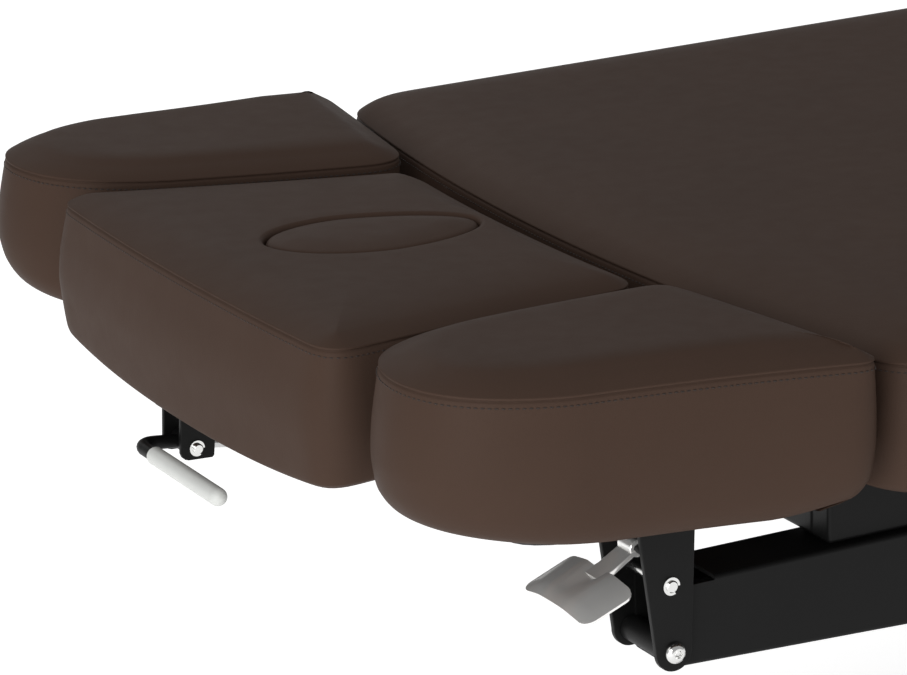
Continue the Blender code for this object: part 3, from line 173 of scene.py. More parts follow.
# Bolts, pins and clips
BOLT_RADIUS = 0.005
BOLT_HEAD_RADIUS = 0.008
BOLT_HEAD_HEIGHT = 0.005
BOLT_DOME = ((0.98, 0.0), (1.0, 0.06), (1.0, 0.16), (0.96, 0.40), (0.86, 0.66), (0.72, 0.86), (0.58, 0.97),
             (0.50, 1.0))
BOLT_SIDES = 24
SOCKET_RADIUS = 0.0032
SOCKET_FLOOR = 0.45
ROD_CHAMFER = 0.0008
BUSH_CHAMFER = 0.0006
CLIP_THICKNESS = 0.001
CLIP_OPENING = math.radians(300)
CLIP_INNER = 0.9
HEXAGON_EDGE = 0.85
HEXAGON_TOP = 0.86
LOCK_PIN = Vector((-0.0043, 0, 0.049))
LOCK_PIN_RADIUS = 0.0045
LOCK_CLIP = 1.45

# Release paddles
PADDLE_PIN = Vector((-0.0175, 0, 0.071))
PADDLE_PIN_RADIUS = 0.003
PADDLE_WIDTH = 0.088
PADDLE_DEPTH = 0.042
PADDLE_SHEET = 0.0022
PADDLE_SLOPE = math.radians(24)
PADDLE_CORNER = 0.008
PADDLE_FOLD = 0.014
PADDLE_DISH = 0.005
PADDLE_DROOP = 0.22
PADDLE_FOLD_ROUND = 0.004
PADDLE_LIP = 0.008
PADDLE_LIP_CURL = 30
PADDLE_SIDE_LIP = 0.005
PADDLE_SIDE_CURL = 40
PADDLE_CUTS_ACROSS = 13
PADDLE_CUTS_ALONG = 7
STEM_WIDTH = 0.020
STEM_REACH = 0.024
STEM_DROP = 0.014

# Arm beams
BEAM_WIDTH = 0.053
BEAM_HEIGHT = 0.062
BEAM_TAPER = 0.0413
BEAM_WALL = 0.003
BEAM_LENGTH = 0.440
BEAM_SETBACK = 0.002
NOTCH_LENGTH = 0.034
SLEEVE_RADIUS = 0.0095
BEAM_CAP_DEPTH = 0.012
PLATE_INNER = BEAM_WIDTH / 2 + GAP
PLATE_OUTER = PLATE_INNER + PLATE_THICKNESS
BEAM_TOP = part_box("arm_beam_near")[1].z
BEAM_FRONT_X = ARM_PIVOT["near"].x + BEAM_SETBACK

# Head lever and its bracket
HEAD_SPRING_Y = 0.058
LEVER_PIN = Vector((FRONT_X + 0.030, HEAD_SPRING_Y, HEAD_BOTTOM - BOARD_THICKNESS - 0.0295))
LEVER_PIN_RADIUS = 0.004
LEVER_CLIP = 1.5
CHEEK_THICKNESS = 0.004
CHEEK_SPAN = 0.034
CHEEK_DROP = 0.009
LEVER_RADIUS = 0.0052
LEVER_SHIFT = 0.004
LEVER_REACH = 0.038
LEVER_RISE = 0.0025
LEVER_TURN = 0.014
GRIP_RADIUS = 0.0068
GRIP_LENGTH = 0.114
GRIP_START = 0.030
GRIP_CAP = 0.012
HEAD_UNDER = HEAD_BOTTOM - BOARD_THICKNESS - 2 * GAP

# Frames
RAIL_TOP = DECK_HEIGHT - BOARD_THICKNESS - 2 * GAP
RAIL_BOTTOM = RAIL_TOP - 0.0475
RAIL_HALF = 0.020
TOP_RAIL_Y = 0.200
LEG_RAIL_Y = 0.2455
TOP_RAIL_TOP = RAIL_BOTTOM - 0.004
TOP_RAIL_BOTTOM = TOP_RAIL_TOP - 0.060
TOP_CROSS_BOTTOM = TOP_RAIL_BOTTOM - 0.050
TOP_CROSS_HALF = 0.022
CROSS_WIDTH = 0.030
TIE_TOP = RAIL_TOP - 0.004
TIE_BOTTOM = RAIL_TOP - 0.034
TIE_SETBACK = 0.035
STEP_IN = 0.001
WELD = 0.010
CROSS_LAP = 0.004
TOP_RAIL_LEAD = 0.110
TOP_RAIL_TAIL = 0.040
RISER_SETBACK = 0.030
BACK_RAIL_SETBACK = 0.040
BACK_CROSS_SETBACK = 0.052
LEG_RAIL_LEAD = 0.020
LEG_RAIL_TAIL = 0.110
HANGER_SETBACK = 0.012
HANGER_HALF = 0.009
HANGER_LIP = 0.004
HANGER_ROUND = 0.002
LUG_ROUND = 0.0015
TOP_PLATE_HEEL = 0.010
BACK_PLATE_HEEL = 0.014
BACK_PIN_HEAD = 0.004
LEG_PIN_HEAD = 0.005

# Hinges
HINGE_PLATE = 0.006
HINGE_PLATE_HALF = 0.015
HINGE_PLATE_NECK = RAIL_TOP + 0.020
HINGE_PLATE_LOW = RAIL_TOP - 0.036
BACK_PLATE_Y = MAIN_HALF + PAD_SIDE + 0.004
TOP_PLATE_Y = BACK_PLATE_Y + HINGE_PLATE + GAP
HINGE_BOLT_RADIUS = 0.006
KNUCKLE_RADIUS = 0.010
KNUCKLE_HALF = 0.015
HEAD_HINGE_Y = 0.050
LEAF_THICKNESS = 0.005
LEAF_LENGTH = 0.074
EAR_LENGTH = 0.020

# Springs and actuators
EYE_RADIUS = 0.014
EYE_SHOULDER = 0.0206
MOTOR_START = 0.0224
EYE_HALF = 0.008
LUG_THICKNESS = 0.005
PIN_RADIUS = 0.005
ACTUATOR_Y = 0.120
ACTUATOR_RADIUS = 0.018
MOTOR_RADIUS = 0.026
MOTOR_LENGTH = 0.090
SPRING_RADIUS = 0.011
HEAD_SPRING_LENGTH = 0.215
BACK_ACTUATOR_LENGTH = 0.215
LEG_ACTUATOR_LENGTH = 0.480
MOTOR_RIBS = (0.25, 0.5, 0.75)
HEAD_ANCHOR = Vector(JOINTS["head_spring_swing"]["pos_m"])
BACK_ANCHOR = Vector(JOINTS["back_actuator_swing"]["pos_m"])
LEG_ANCHOR = Vector(JOINTS["leg_actuator_swing"]["pos_m"])
BACK_LUG = Vector((BACK_HINGE.x - 0.145, -ACTUATOR_Y, DECK_HEIGHT - 0.065))
LEG_LUG = Vector((LEG_HINGE.x + 0.217, ACTUATOR_Y, DECK_HEIGHT - 0.185))

# Columns, base and feet
COLUMN_X = {end: sum(corner.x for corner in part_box("column_outer_" + end)) / 2 for end in ("head", "foot")}
COLUMN_HALF = Vector((0.055, 0.075))
COLUMN_WALL = 0.006
COLUMN_CORNER = 0.010
COLLAR_LIP = 0.004
COLLAR_WALL = 0.0039
COLLAR_DROP = 0.014
COLLAR_RISE = 0.003
BASE_BOTTOM = 0.030
BASE_TOP = 0.080
BASE_HALF_LENGTH = 0.600
BASE_RAIL_Y = 0.280
BASE_TUBE_HALF = 0.030
BASE_CROSS_HALF = 0.057
BASE_SPINE_HALF = 0.045
RAIL_CAP_DEPTH = 0.004
RAIL_CAP_LIP = 0.003
RAIL_CAP_INSET = 0.0015
FOOT_INSET = 0.050
FOOT_PROFILE = ((0, 0), (0, 0.0285), (0.0012, 0.030), (0.004, 0.030), (0.0055, 0.0285), (0.0085, 0.016),
                (0.010, 0.0125), (0.010, 0.0075), (0.0298, 0.0075), (0.0298, 0))
FOOT_NUT_LEVEL = 0.0215
FOOT_NUT_RADIUS = 0.012
FOOT_NUT_HEIGHT = 0.0082

# Control box and its inlet
LID_HEIGHT = 0.018
LID_GAP = 0.0006
LID_NECK_INSET = 0.002
LID_NECK_HALF = 0.004
BOX_ROUND = 0.005
LID_SCREW = ((0, 0), (0, 0.0045), (0.0008, 0.0042), (0.0014, 0.0030), (0.0014, 0))
LID_SCREW_INSET = 0.014
VENTS = 8
VENT_PITCH = 0.012
VENT_START = 0.050
VENT_WIDTH = 0.005
VENT_INSET = 0.030
VENT_RISE = 0.0012
INLET_WALL = 0.003
INLET_CONTACTS = ((-0.007, 0.010), (0.007, 0.010), (0, 0.0145))

# The camera that took the photograph, from its fit to the seams
PHOTO_WIDTH_PX = 907
PHOTO_FOCAL_PX = 4745.3
CAMERA_PLACE = Vector((-2.27625, -2.95311, 1.64832))
CAMERA_AZIMUTH = math.radians(-27.547)
CAMERA_ELEVATION = math.radians(17.636)
CAMERA_ROLL = math.radians(-1.873)
SENSOR_WIDTH_MM = 36.0

# Studio lights
LIGHT_TARGET = Vector((-0.5, 0, 0.55))
KEY_PLACE = (-3.4, -2.4, 1.45)
KEY_SIZE = 2.4
RIM_PLACE = (-0.4, 3.2, 3.0)
RIM_SIZE = 3.0
FLOOR_HALF = 40


class CushionSizes(bpy.types.PropertyGroup):
    """Sizes of the upholstery"""
    crown: FloatProperty(name="Crown", description="Rise of a cushion's middle over its seam",
                         default=0.014, unit="LENGTH")
    main_crown: FloatProperty(name="Main crown", description="Rise of the deck's cushions over the seam",
                              default=0.0175, unit="LENGTH")
    bulge: FloatProperty(name="Bulge", description="How far the side panels stand out from the seam",
                         default=PAD_SIDE, unit="LENGTH")
    seam_depth: FloatProperty(name="Seam depth", description="Depth of the crease along the seam",
                              default=0.0016, unit="LENGTH")
    stitch_pitch: FloatProperty(name="Stitch pitch", description="Distance from stitch to stitch",
                                default=0.0045, unit="LENGTH")
    stitch_drop: FloatProperty(name="Stitch drop", description="Distance of the stitch row below the seam",
                               default=0.0045, unit="LENGTH")
    stitch_radius: FloatProperty(name="Thread", description="Radius of the thread",
                                 default=0.00055, unit="LENGTH")


class FittingSizes(bpy.types.PropertyGroup):
    """Roundings of the metalwork"""
    tube_round: FloatProperty(name="Tube rounding", description="Corner radius of the square tubes",
                              default=0.0035, unit="LENGTH")
    plate_round: FloatProperty(name="Plate rounding", description="Edge radius of the cut plates",
                               default=0.0008, unit="LENGTH")


class BedFinishes(bpy.types.PropertyGroup):
    """Colours of the bed"""
    upholstery: FloatVectorProperty(name="Upholstery", description="Colour of the cushions",
                                    subtype="COLOR", default=(0.0545, 0.0338, 0.0252))
    thread: FloatVectorProperty(name="Thread", description="Colour of the stitching", subtype="COLOR",
                                default=(0.020, 0.012, 0.009))
    paint: FloatVectorProperty(name="Paint", description="Colour of the painted steel", subtype="COLOR",
                               default=(0.006, 0.006, 0.006))
    grip: FloatVectorProperty(name="Grip", description="Colour of the lever's grip", subtype="COLOR",
                              default=(0.56, 0.57, 0.55))


class StageLight(bpy.types.PropertyGroup):
    """Strengths of the studio's light"""
    key: FloatProperty(name="Key", description="Power of the large lamp in front", default=82.0,
                       unit="POWER")
    rim: FloatProperty(name="Rim", description="Power of the lamp behind", default=20.0, unit="POWER")
    sky: FloatProperty(name="Surround", description="Strength of the even light all round", default=0.45)
    floor: FloatProperty(name="Floor", description="Strength of the light that the sweep gives off",
                         default=0.60)


class Wire:
    """A node's output that takes part in Python arithmetic"""

    def __init__(self, finish, socket):
        self.finish = finish
        self.socket = socket

    def combine(self, operation, first, second):
        return self.finish.node("Math", {"operation": operation}, {0: first, 1: second})

    def __add__(self, other):
        return self.combine("ADD", self, other)

    def __radd__(self, other):
        return self.combine("ADD", other, self)

    def __mul__(self, other):
        return self.combine("MULTIPLY", self, other)

    def __rmul__(self, other):
        return self.combine("MULTIPLY", other, self)


class Finish:
    """A material whose nodes are added one call at a time"""

    def __init__(self, name):
        self.material = bpy.data.materials.new(name)
        self.material.use_nodes = True
        self.tree = self.material.node_tree
        self.shader = self.tree.nodes["Principled BSDF"]

    def node(self, kind, settings, inputs, output=0):
        made = self.tree.nodes.new("ShaderNode" + kind)
        for name, value in settings.items():
            setattr(made, name, value)
        for name, value in inputs.items():
            self.feed(made.inputs[name], value)
        return Wire(self, made.outputs[output])

    def feed(self, socket, value):
        if isinstance(value, Wire):
            self.tree.links.new(value.socket, socket)
        else:
            socket.default_value = value

    def set(self, **values):
        for name, value in values.items():
            title = name.replace("_", " ").title().replace("Ior", "IOR")
            self.feed(self.shader.inputs[title], value)

    def place(self):
        return self.node("TexCoord", {}, {}, "Object")

    def noise(self, scale, detail=2.0, place=None):
        where = place or self.place()
        return self.node("TexNoise", {}, {"Vector": where, "Scale": scale, "Detail": detail})

    def cells(self, scale):
        return self.node("TexVoronoi", {"feature": "F1"}, {"Vector": self.place(), "Scale": scale})

    def shade(self, colour, amount, mask):
        """A colour that a mask lightens and darkens by an amount"""
        dark = (*[c * (1 - amount) for c in colour], 1)
        light = (*[min(1, c * (1 + amount)) for c in colour], 1)
        return self.node("Mix", {"data_type": "RGBA"}, {0: mask, 6: dark, 7: light}, 2)

    def bump(self, height, distance, strength=1.0, below=None):
        inputs = {"Height": height, "Distance": distance, "Strength": strength}
        if below:
            inputs["Normal"] = below
        return self.node("Bump", {}, inputs)


def leather():
    """Smooth upholstery with a fine pebble grain and a soft sheen"""
    finish = Finish("leather")
    colour = bpy.context.scene.bed_finishes.upholstery
    cloudy = finish.noise(9.0, 3.0)
    pebbles = finish.cells(850.0)
    pores = finish.noise(2200.0, 1.0)
    rolls = finish.noise(60.0, 2.0)
    grain = pebbles * 0.7 + pores * 0.3
    finish.set(base_color=finish.shade(colour, 0.08, cloudy), roughness=0.46 + rolls * 0.10,
               normal=finish.bump(grain, 0.00012, 0.55, finish.bump(rolls, 0.0006, 0.25)),
               specular_ior_level=0.03)
    return finish.material


def thread():
    """Twisted sewing thread"""
    finish = Finish("thread")
    colour = bpy.context.scene.bed_finishes.thread
    strands = finish.noise(2500.0, 2.0)
    finish.set(base_color=finish.shade(colour, 0.25, strands), roughness=0.7,
               normal=finish.bump(strands, 0.0002, 0.5))
    return finish.material


def paint(name, colour, roughness):
    """Powder-coated steel with a slight orange peel"""
    finish = Finish(name)
    peel = finish.noise(420.0, 2.0)
    patches = finish.noise(14.0, 3.0)
    finish.set(base_color=finish.shade(colour, 0.18, patches),
               roughness=roughness - 0.06 + patches * 0.12,
               normal=finish.bump(peel, 0.00025, 0.35), specular_ior_level=0.12)
    return finish.material


def bright_metal(name, colour, roughness, streak, metallic=1.0):
    """Plated or brushed steel"""
    finish = Finish(name)
    stretched = finish.node("Mapping", {}, {"Vector": finish.place(), "Scale": (1.0, streak, 1.0)})
    lines = finish.noise(700.0, 2.0, stretched)
    smears = finish.noise(30.0, 3.0)
    finish.set(base_color=finish.shade(colour, 0.05, smears), metallic=metallic,
               roughness=roughness + lines * 0.06 + smears * 0.05,
               normal=finish.bump(lines, 0.00004, 0.2))
    return finish.material


def moulded(name, colour, roughness, grain):
    """Moulded plastic or rubber with a spark-eroded texture"""
    finish = Finish(name)
    fine = finish.noise(grain, 2.0)
    marks = finish.noise(25.0, 4.0)
    finish.set(base_color=finish.shade(colour, 0.12, marks), roughness=roughness - 0.05 + marks * 0.1,
               normal=finish.bump(fine, 0.0001, 0.4))
    return finish.material


def dust_cover():
    """Non-woven cloth stapled under a board"""
    finish = Finish("board")
    fibres = finish.noise(900.0, 6.0)
    webs = finish.cells(260.0)
    finish.set(base_color=finish.shade((0.012, 0.012, 0.013), 0.45, fibres), roughness=0.9,
               normal=finish.bump(fibres * 0.6 + webs * 0.4, 0.0004, 0.5))
    return finish.material
FINISHES = {}


def make_finishes():
    """The bed's materials by the record's slots"""
    colours = bpy.context.scene.bed_finishes
    FINISHES.update(
        leather=leather(),
        thread=thread(),
        black_paint=paint("black_paint", colours.paint, 0.42),
        column=paint("column", (0.030, 0.031, 0.033), 0.40),
        chrome=bright_metal("chrome", (0.70, 0.70, 0.69), 0.08, 1.0),
        paddle=bright_metal("paddle", (0.92, 0.91, 0.89), 0.09, 1.0, 0.62),
        steel=bright_metal("steel", (0.55, 0.55, 0.55), 0.25, 12.0),
        grip=moulded("grip", colours.grip, 0.45, 500.0),
        plastic=moulded("plastic", (0.014, 0.014, 0.015), 0.48, 700.0),
        rubber=moulded("rubber", (0.010, 0.010, 0.010), 0.80, 400.0),
        board=dust_cover(),
    )


def add_piece(name, bm, body, slot, nodes=(), finish=None, turn=None, hard=True):
    """A finished piece from a bmesh, riding on its body in place of the frame's nodes"""
    if turn:
        bmesh.ops.transform(bm, matrix=turn, verts=bm.verts)
    bmesh.ops.recalc_face_normals(bm, faces=bm.faces)
    mesh = bpy.data.meshes.new(name)
    bm.to_mesh(mesh)
    bm.free()
    mesh.shade_smooth()
    piece = bpy.data.objects.new(name, mesh)
    bpy.context.scene.collection.objects.link(piece)
    if hard:
        mesh.set_sharp_from_angle(angle=math.radians(40))
        piece.modifiers.new("even_shading", "WEIGHTED_NORMAL").keep_sharp = True
    mesh.materials.append(FINISHES[finish or slot])
    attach(piece, body)
    if nodes:
        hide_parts(*nodes)
    return piece


def turned_about(pivot, angle):
    """The tilt of a section at rest, front up about its hinge"""
    return Matrix.Translation(pivot) @ Matrix.Rotation(angle, 4, "Y") @ Matrix.Translation(-pivot)


def merged(parts):
    """Several shapes as one bmesh"""
    bm = bmesh.new()
    for part in parts:
        mesh = bpy.data.meshes.new("part")
        part.to_mesh(mesh)
        part.free()
        bm.from_mesh(mesh)
        bpy.data.meshes.remove(mesh)
    return bm


def copies(shape, places):
    """One shape repeated at many places"""
    mesh = bpy.data.meshes.new("repeated")
    shape.to_mesh(mesh)
    shape.free()
    bm = bmesh.new()
    for place in places:
        mesh.transform(place)
        bm.from_mesh(mesh)
        mesh.transform(place.inverted())
    bpy.data.meshes.remove(mesh)
    return bm


def around(middle, half):
    """The two places at half a width on either side of a middle"""
    return middle - half, middle + half


def block(x, y, z):
    """A plain block between two places along each axis, given in either order"""
    low, high = (Vector([pick(r) for r in (x, y, z)]) for pick in (min, max))
    bm = bmesh.new()
    bmesh.ops.create_cube(bm, size=1.0)
    bmesh.ops.scale(bm, vec=high - low, verts=bm.verts)
    bmesh.ops.translate(bm, vec=(low + high) / 2, verts=bm.verts)
    return bm


def round_edges(bm, edges, radius, segments=3):
    """Bevel some edges of a shape to a radius"""
    bmesh.ops.bevel(bm, geom=edges, offset=radius, segments=segments, profile=0.5, affect="EDGES",
                    material=-1)
    return bm


def cut(bm, place, normal):
    """Divide every face that a plane crosses"""
    everything = bm.verts[:] + bm.edges[:] + bm.faces[:]
    bmesh.ops.bisect_plane(bm, geom=everything, plane_co=place, plane_no=normal)


def bar(x, y, z, radius=None, segments=3):
    """A square tube or plate with every edge rounded"""
    bm = block(x, y, z)
    thinnest = min(max(r) - min(r) for r in (x, y, z))
    wanted = radius or bpy.context.scene.fitting_sizes.tube_round
    return round_edges(bm, bm.edges[:], min(wanted, thinnest * 0.4), segments)


def post(x, y, z, corner):
    """An upright square bar with rounded corners"""
    bm = block(x, y, z)
    upright = [e for e in bm.edges if abs(e.verts[0].co.z - e.verts[1].co.z) > 1e-4]
    return round_edges(bm, upright, corner, 5)


def sleeve(x, y, z, corner, wall, closed_bottom=False):
    """An upright square tube with rounded corners, open at its top"""
    bm = post(x, y, z, corner)
    bm.normal_update()
    ends = [f for f in bm.faces if f.normal.z > 0.9 or (f.normal.z < -0.9 and not closed_bottom)]
    bmesh.ops.delete(bm, geom=ends, context="FACES")
    bmesh.ops.recalc_face_normals(bm, faces=bm.faces)
    bmesh.ops.solidify(bm, geom=bm.faces[:], thickness=wall)
    return bm


def plate(outline, y):
    """A plate cut to an outline in X and Z between two places along Y, with its edges rounded"""
    bm = bmesh.new()
    face = bm.faces.new([bm.verts.new((x, min(y), z)) for x, z in outline])
    raised = bmesh.ops.extrude_face_region(bm, geom=[face])["geom"]
    verts = [g for g in raised if isinstance(g, bmesh.types.BMVert)]
    bmesh.ops.translate(bm, vec=(0, max(y) - min(y), 0), verts=verts)
    rims = [e for e in bm.edges if abs(e.verts[0].co.y - e.verts[1].co.y) < 1e-6]
    return round_edges(bm, rims, bpy.context.scene.fitting_sizes.plate_round, 2)


def arc_points(centre, radius, first, last, step):
    """Points in X and Z round a centre, from one angle in degrees to another"""
    turns = [math.radians(degrees) for degrees in range(first, last + 1, step)]
    return [(centre.x + radius * math.cos(a), centre.z + radius * math.sin(a)) for a in turns]


def spun(profile, start, along, sides=24, angle=2 * math.pi):
    """A round piece: a profile of distances along a line and radii, spun about it"""
    bm = bmesh.new()
    chain = [bm.verts.new((radius, 0, distance)) for distance, radius in profile]
    edges = [bm.edges.new(pair) for pair in zip(chain, chain[1:])]
    full = angle >= 2 * math.pi
    bmesh.ops.spin(bm, geom=chain + edges, axis=(0, 0, 1), cent=(0, 0, 0), angle=angle, steps=sides,
                   use_merge=full)
    bmesh.ops.remove_doubles(bm, verts=bm.verts, dist=1e-6)
    if not full:
        bmesh.ops.holes_fill(bm, edges=bm.edges)
    turn = Vector((0, 0, 1)).rotation_difference(Vector(along)).to_matrix().to_4x4()
    bmesh.ops.transform(bm, matrix=Matrix.Translation(start) @ turn, verts=bm.verts)
    return bm


def rod(start, end, radius):
    """A round bar with chamfered ends"""
    start, end = Vector(start), Vector(end)
    length, chamfer = (end - start).length, ROD_CHAMFER
    profile = [(0, 0), (0, radius - chamfer), (chamfer, radius), (length - chamfer, radius),
               (length, radius - chamfer), (length, 0)]
    return spun(profile, start, end - start)


def cross_pin(point, reach, radius):
    """A round bar along Y, centred on a point"""
    return rod((point.x, point.y - reach, point.z), (point.x, point.y + reach, point.z), radius)


def bush(point, half, inner, outer, sides=24):
    """A bush along Y, centred on a point"""
    length, chamfer = 2 * half, BUSH_CHAMFER
    profile = [(0, inner), (0, outer - chamfer), (chamfer, outer), (length - chamfer, outer),
               (length, outer - chamfer), (length, inner), (0, inner)]
    return spun(profile, (point.x, point.y - half, point.z), (0, 1, 0), sides)


def clipped_pin(point, face, overhang, radius, clip):
    """A pin along Y through two faces, with an open retaining clip outside each"""
    inner, outer = radius * CLIP_INNER, radius * clip
    profile = [(0, inner), (0, outer), (CLIP_THICKNESS, outer), (CLIP_THICKNESS, inner), (0, inner)]
    parts = [cross_pin(point, face + overhang, radius)]
    for sign in (-1, 1):
        start = (point.x, point.y + sign * face, point.z)
        parts.append(spun(profile, start, (0, sign, 0), 20, CLIP_OPENING))
    return merged(parts)


def hexagon(start, along, radius, height):
    """A nut or a bolt's hexagon head standing on a face"""
    profile = [(0, 0), (0, radius), (height * HEXAGON_EDGE, radius), (height, radius * HEXAGON_TOP),
               (height, 0)]
    return spun(profile, start, along, 6)


def loft(rings):
    """A body through a row of rings of points, with both ends closed"""
    bm = bmesh.new()
    loop = start_loop(bm, rings[0])
    bm.faces.new(loop)
    for ring in rings[1:]:
        loop = raise_loop(bm, loop, ring)
    bm.faces.new(loop)
    return bm


def button_head(point, y, outward_sign):
    """A domed bolt head with a hexagon socket"""
    turns = [2 * math.pi * i / BOLT_SIDES for i in range(BOLT_SIDES)]
    flat = SOCKET_RADIUS * math.cos(math.pi / 6)
    socket = [flat / math.cos((a % (math.pi / 3)) - math.pi / 6) for a in turns]
    rows = [([BOLT_HEAD_RADIUS * share] * BOLT_SIDES, level) for share, level in BOLT_DOME]
    rows += [(socket, 1.0), (socket, SOCKET_FLOOR), ([s * 0.3 for s in socket], SOCKET_FLOOR - 0.13)]
    rings = []
    for radii, level in rows:
        place = y + outward_sign * BOLT_HEAD_HEIGHT * level
        rings.append([Vector((point.x + r * math.cos(a), place, point.z + r * math.sin(a)))
                      for r, a in zip(radii, turns)])
    return loft(rings)


def swept(path, radius, sides=16):
    """A round bar along a path, with flat ends"""
    rings = []
    for i, p in enumerate(path):
        along = (path[min(i + 1, len(path) - 1)] - path[max(i - 1, 0)]).normalized()
        side = along.cross(Vector((0, 0, 1))).normalized()
        up = side.cross(along)
        rings.append([p + (side * math.cos(a) + up * math.sin(a)) * radius
                      for a in (2 * math.pi * k / sides for k in range(sides))])
    return loft(rings)


def curve_points(start, stretches, steps=16):
    """Points along quadratic stretches, each given as control and end"""
    points = [Vector(start)]
    for control, end in stretches:
        first, control, end = points[-1], Vector(control), Vector(end)
        for i in range(1, steps + 1):
            t = i / steps
            points.append(first * (1 - t) ** 2 + control * 2 * t * (1 - t) + end * t * t)
    return points


def mirrored(half):
    """Close a half outline, from its front middle to its rear middle, with its mirror image in Y"""
    return half + [Vector((p.x, -p.y)) for p in reversed(half[1:-1])]


def evenly(points, step):
    """A closed outline with its points evenly spaced"""
    closed = points + points[:1]
    lengths = [0.0]
    for a, b in zip(closed, closed[1:]):
        lengths.append(lengths[-1] + (b - a).length)
    count = round(lengths[-1] / step)
    spaced = []
    k = 0
    for i in range(count):
        target = lengths[-1] * i / count
        while lengths[k + 1] < target:
            k += 1
        t = (target - lengths[k]) / (lengths[k + 1] - lengths[k])
        spaced.append(closed[k].lerp(closed[k + 1], t))
    return spaced


def softened(points, passes):
    """A closed outline with its joins between stretches smoothed out"""
    count = len(points)
    for _ in range(passes):
        points = [(points[i - 1] + points[i] * 2 + points[(i + 1) % count]) / 4 for i in range(count)]
    return points


def head_half(x):
    """Half width of the head cushion at a place along X"""
    t = (x - HEAD_CORNER_X) / (HEAD_REAR_X - HEAD_CORNER_X)
    curved = (1 + HEAD_SIDE_CURVE) * t - HEAD_SIDE_CURVE * t * t
    return HEAD_FRONT_HALF + (HEAD_REAR_HALF - HEAD_FRONT_HALF) * curved


def head_outline():
    """Outline of the head cushion: bowed front, sides drawn in toward the back, hollow rear"""
    front, rear, corner = FRONT_X, HEAD_REAR_X, HEAD_CORNER_X
    nose = HEAD_FRONT_HALF - HEAD_NOSE_INSET
    side_start, side_end = corner + HEAD_CORNER_RUN, rear - HEAD_REAR_RUN
    side_control = (side_start + side_end) / 2
    return mirrored(curve_points((front, 0), [
        ((front, -nose / 2), (front + 0.007, -nose)),
        ((front + 0.010, -HEAD_FRONT_HALF - 0.004), (side_start, -head_half(side_start))),
        ((side_control, -head_half(side_control) + 0.001), (side_end, -head_half(side_end))),
        ((rear + 0.001, -head_half(rear)), (rear, -head_half(rear) + HEAD_REAR_ROUND)),
        ((rear - HEAD_REAR_HOLLOW, -HEAD_REAR_HALF / 2), (rear - HEAD_REAR_HOLLOW, 0)),
    ]))


def arm_outline(side):
    """Outline of an arm cushion: side -1 is near, +1 is far"""
    front = FRONT_X + ARM_FRONT_SETBACK
    rear = front + ARM_LENGTH
    inner = [front + place for place in ARM_INNER_PLACES]
    edge = [head_half(x) + ARM_HEAD_GAP + i * ARM_GAP_FLARE for i, x in enumerate(inner)]
    points = curve_points((front, -ARM_NOSE_Y), [
        ((front + 0.001, -ARM_OUTER_HALF + 0.018), (front + 0.090, -ARM_OUTER_HALF + 0.002)),
        ((front + 0.200, -ARM_OUTER_HALF), (rear - 0.018, -ARM_OUTER_HALF - 0.017)),
        ((rear, -ARM_OUTER_HALF - 0.020), (rear - 0.002, -ARM_OUTER_HALF - 0.002)),
        ((rear - 0.020, -ARM_CENTRE_Y + 0.012), (rear - 0.031, -edge[2] - 0.028)),
        ((rear - 0.037, -edge[2] + 0.002), (inner[2] - 0.004, -edge[2])),
        ((inner[1], -edge[1] + 0.001), (inner[0], -edge[0] - 0.001)),
        ((front, -edge[0] - 0.023), (front, -ARM_NOSE_Y)),
    ])
    return [Vector((p.x, -side * p.y)) for p in points[:-1]]


def slab_outline(front, rear, front_round, rear_round):
    """A straight section's outline with rounded corners"""
    quarter = MAIN_HALF / 2
    return mirrored(curve_points((front, 0), [
        ((front, -quarter), (front, -MAIN_HALF + front_round)),
        ((front, -MAIN_HALF), (front + front_round, -MAIN_HALF)),
        (((front + rear) / 2, -MAIN_HALF), (rear - rear_round, -MAIN_HALF)),
        ((rear, -MAIN_HALF), (rear, -MAIN_HALF + rear_round)),
        ((rear, -quarter), (rear, 0)),
    ]))


def back_outline():
    """Outline of the back cushion: bowed front with sloping shoulders, square behind"""
    shoulder = MAIN_HALF - BACK_SHOULDER
    corner = BACK_FRONT_X + BACK_FRONT_BOW * (shoulder / MAIN_HALF) ** 2
    rear = BACK_REAR_X
    return mirrored(curve_points((BACK_FRONT_X, 0), [
        ((BACK_FRONT_X, -shoulder / 2), (corner, -shoulder)),
        ((corner + 0.010, -MAIN_HALF), (corner + BACK_SHOULDER_LENGTH, -MAIN_HALF)),
        ((0, -MAIN_HALF), (rear - SLAB_CORNER, -MAIN_HALF)),
        ((rear, -MAIN_HALF), (rear, -MAIN_HALF + SLAB_CORNER)),
        ((rear, -MAIN_HALF / 2), (rear, 0)),
    ]))


def egg_outline(margin):
    """The face plug's egg outline, wide toward the front and pointed behind, grown by a margin"""
    front = FRONT_X + PLUG_SETBACK - HEAD_LEAN
    middle = front + PLUG_LENGTH * PLUG_MIDDLE
    points = []
    for i in range(EGG_POINTS):
        angle = 2 * math.pi * i / EGG_POINTS
        behind = max(0.0, math.cos(angle))
        reach = front + PLUG_LENGTH - middle if behind else middle - front
        width = PLUG_HALF_WIDTH * (1 - PLUG_POINT * behind) + margin
        points.append(Vector((middle + (reach + margin) * math.cos(angle), width * math.sin(angle))))
    return points


def outward(points):
    """The outward direction at each point of a closed outline"""
    turning = sum(a.x * b.y - b.x * a.y for a, b in zip(points, points[1:] + points[:1]))
    sign = 1 if turning > 0 else -1
    away = []
    for i in range(len(points)):
        along = points[(i + 1) % len(points)] - points[i - 1]
        away.append(Vector((along.y, -along.x)).normalized() * sign)
    return softened(away, 2)


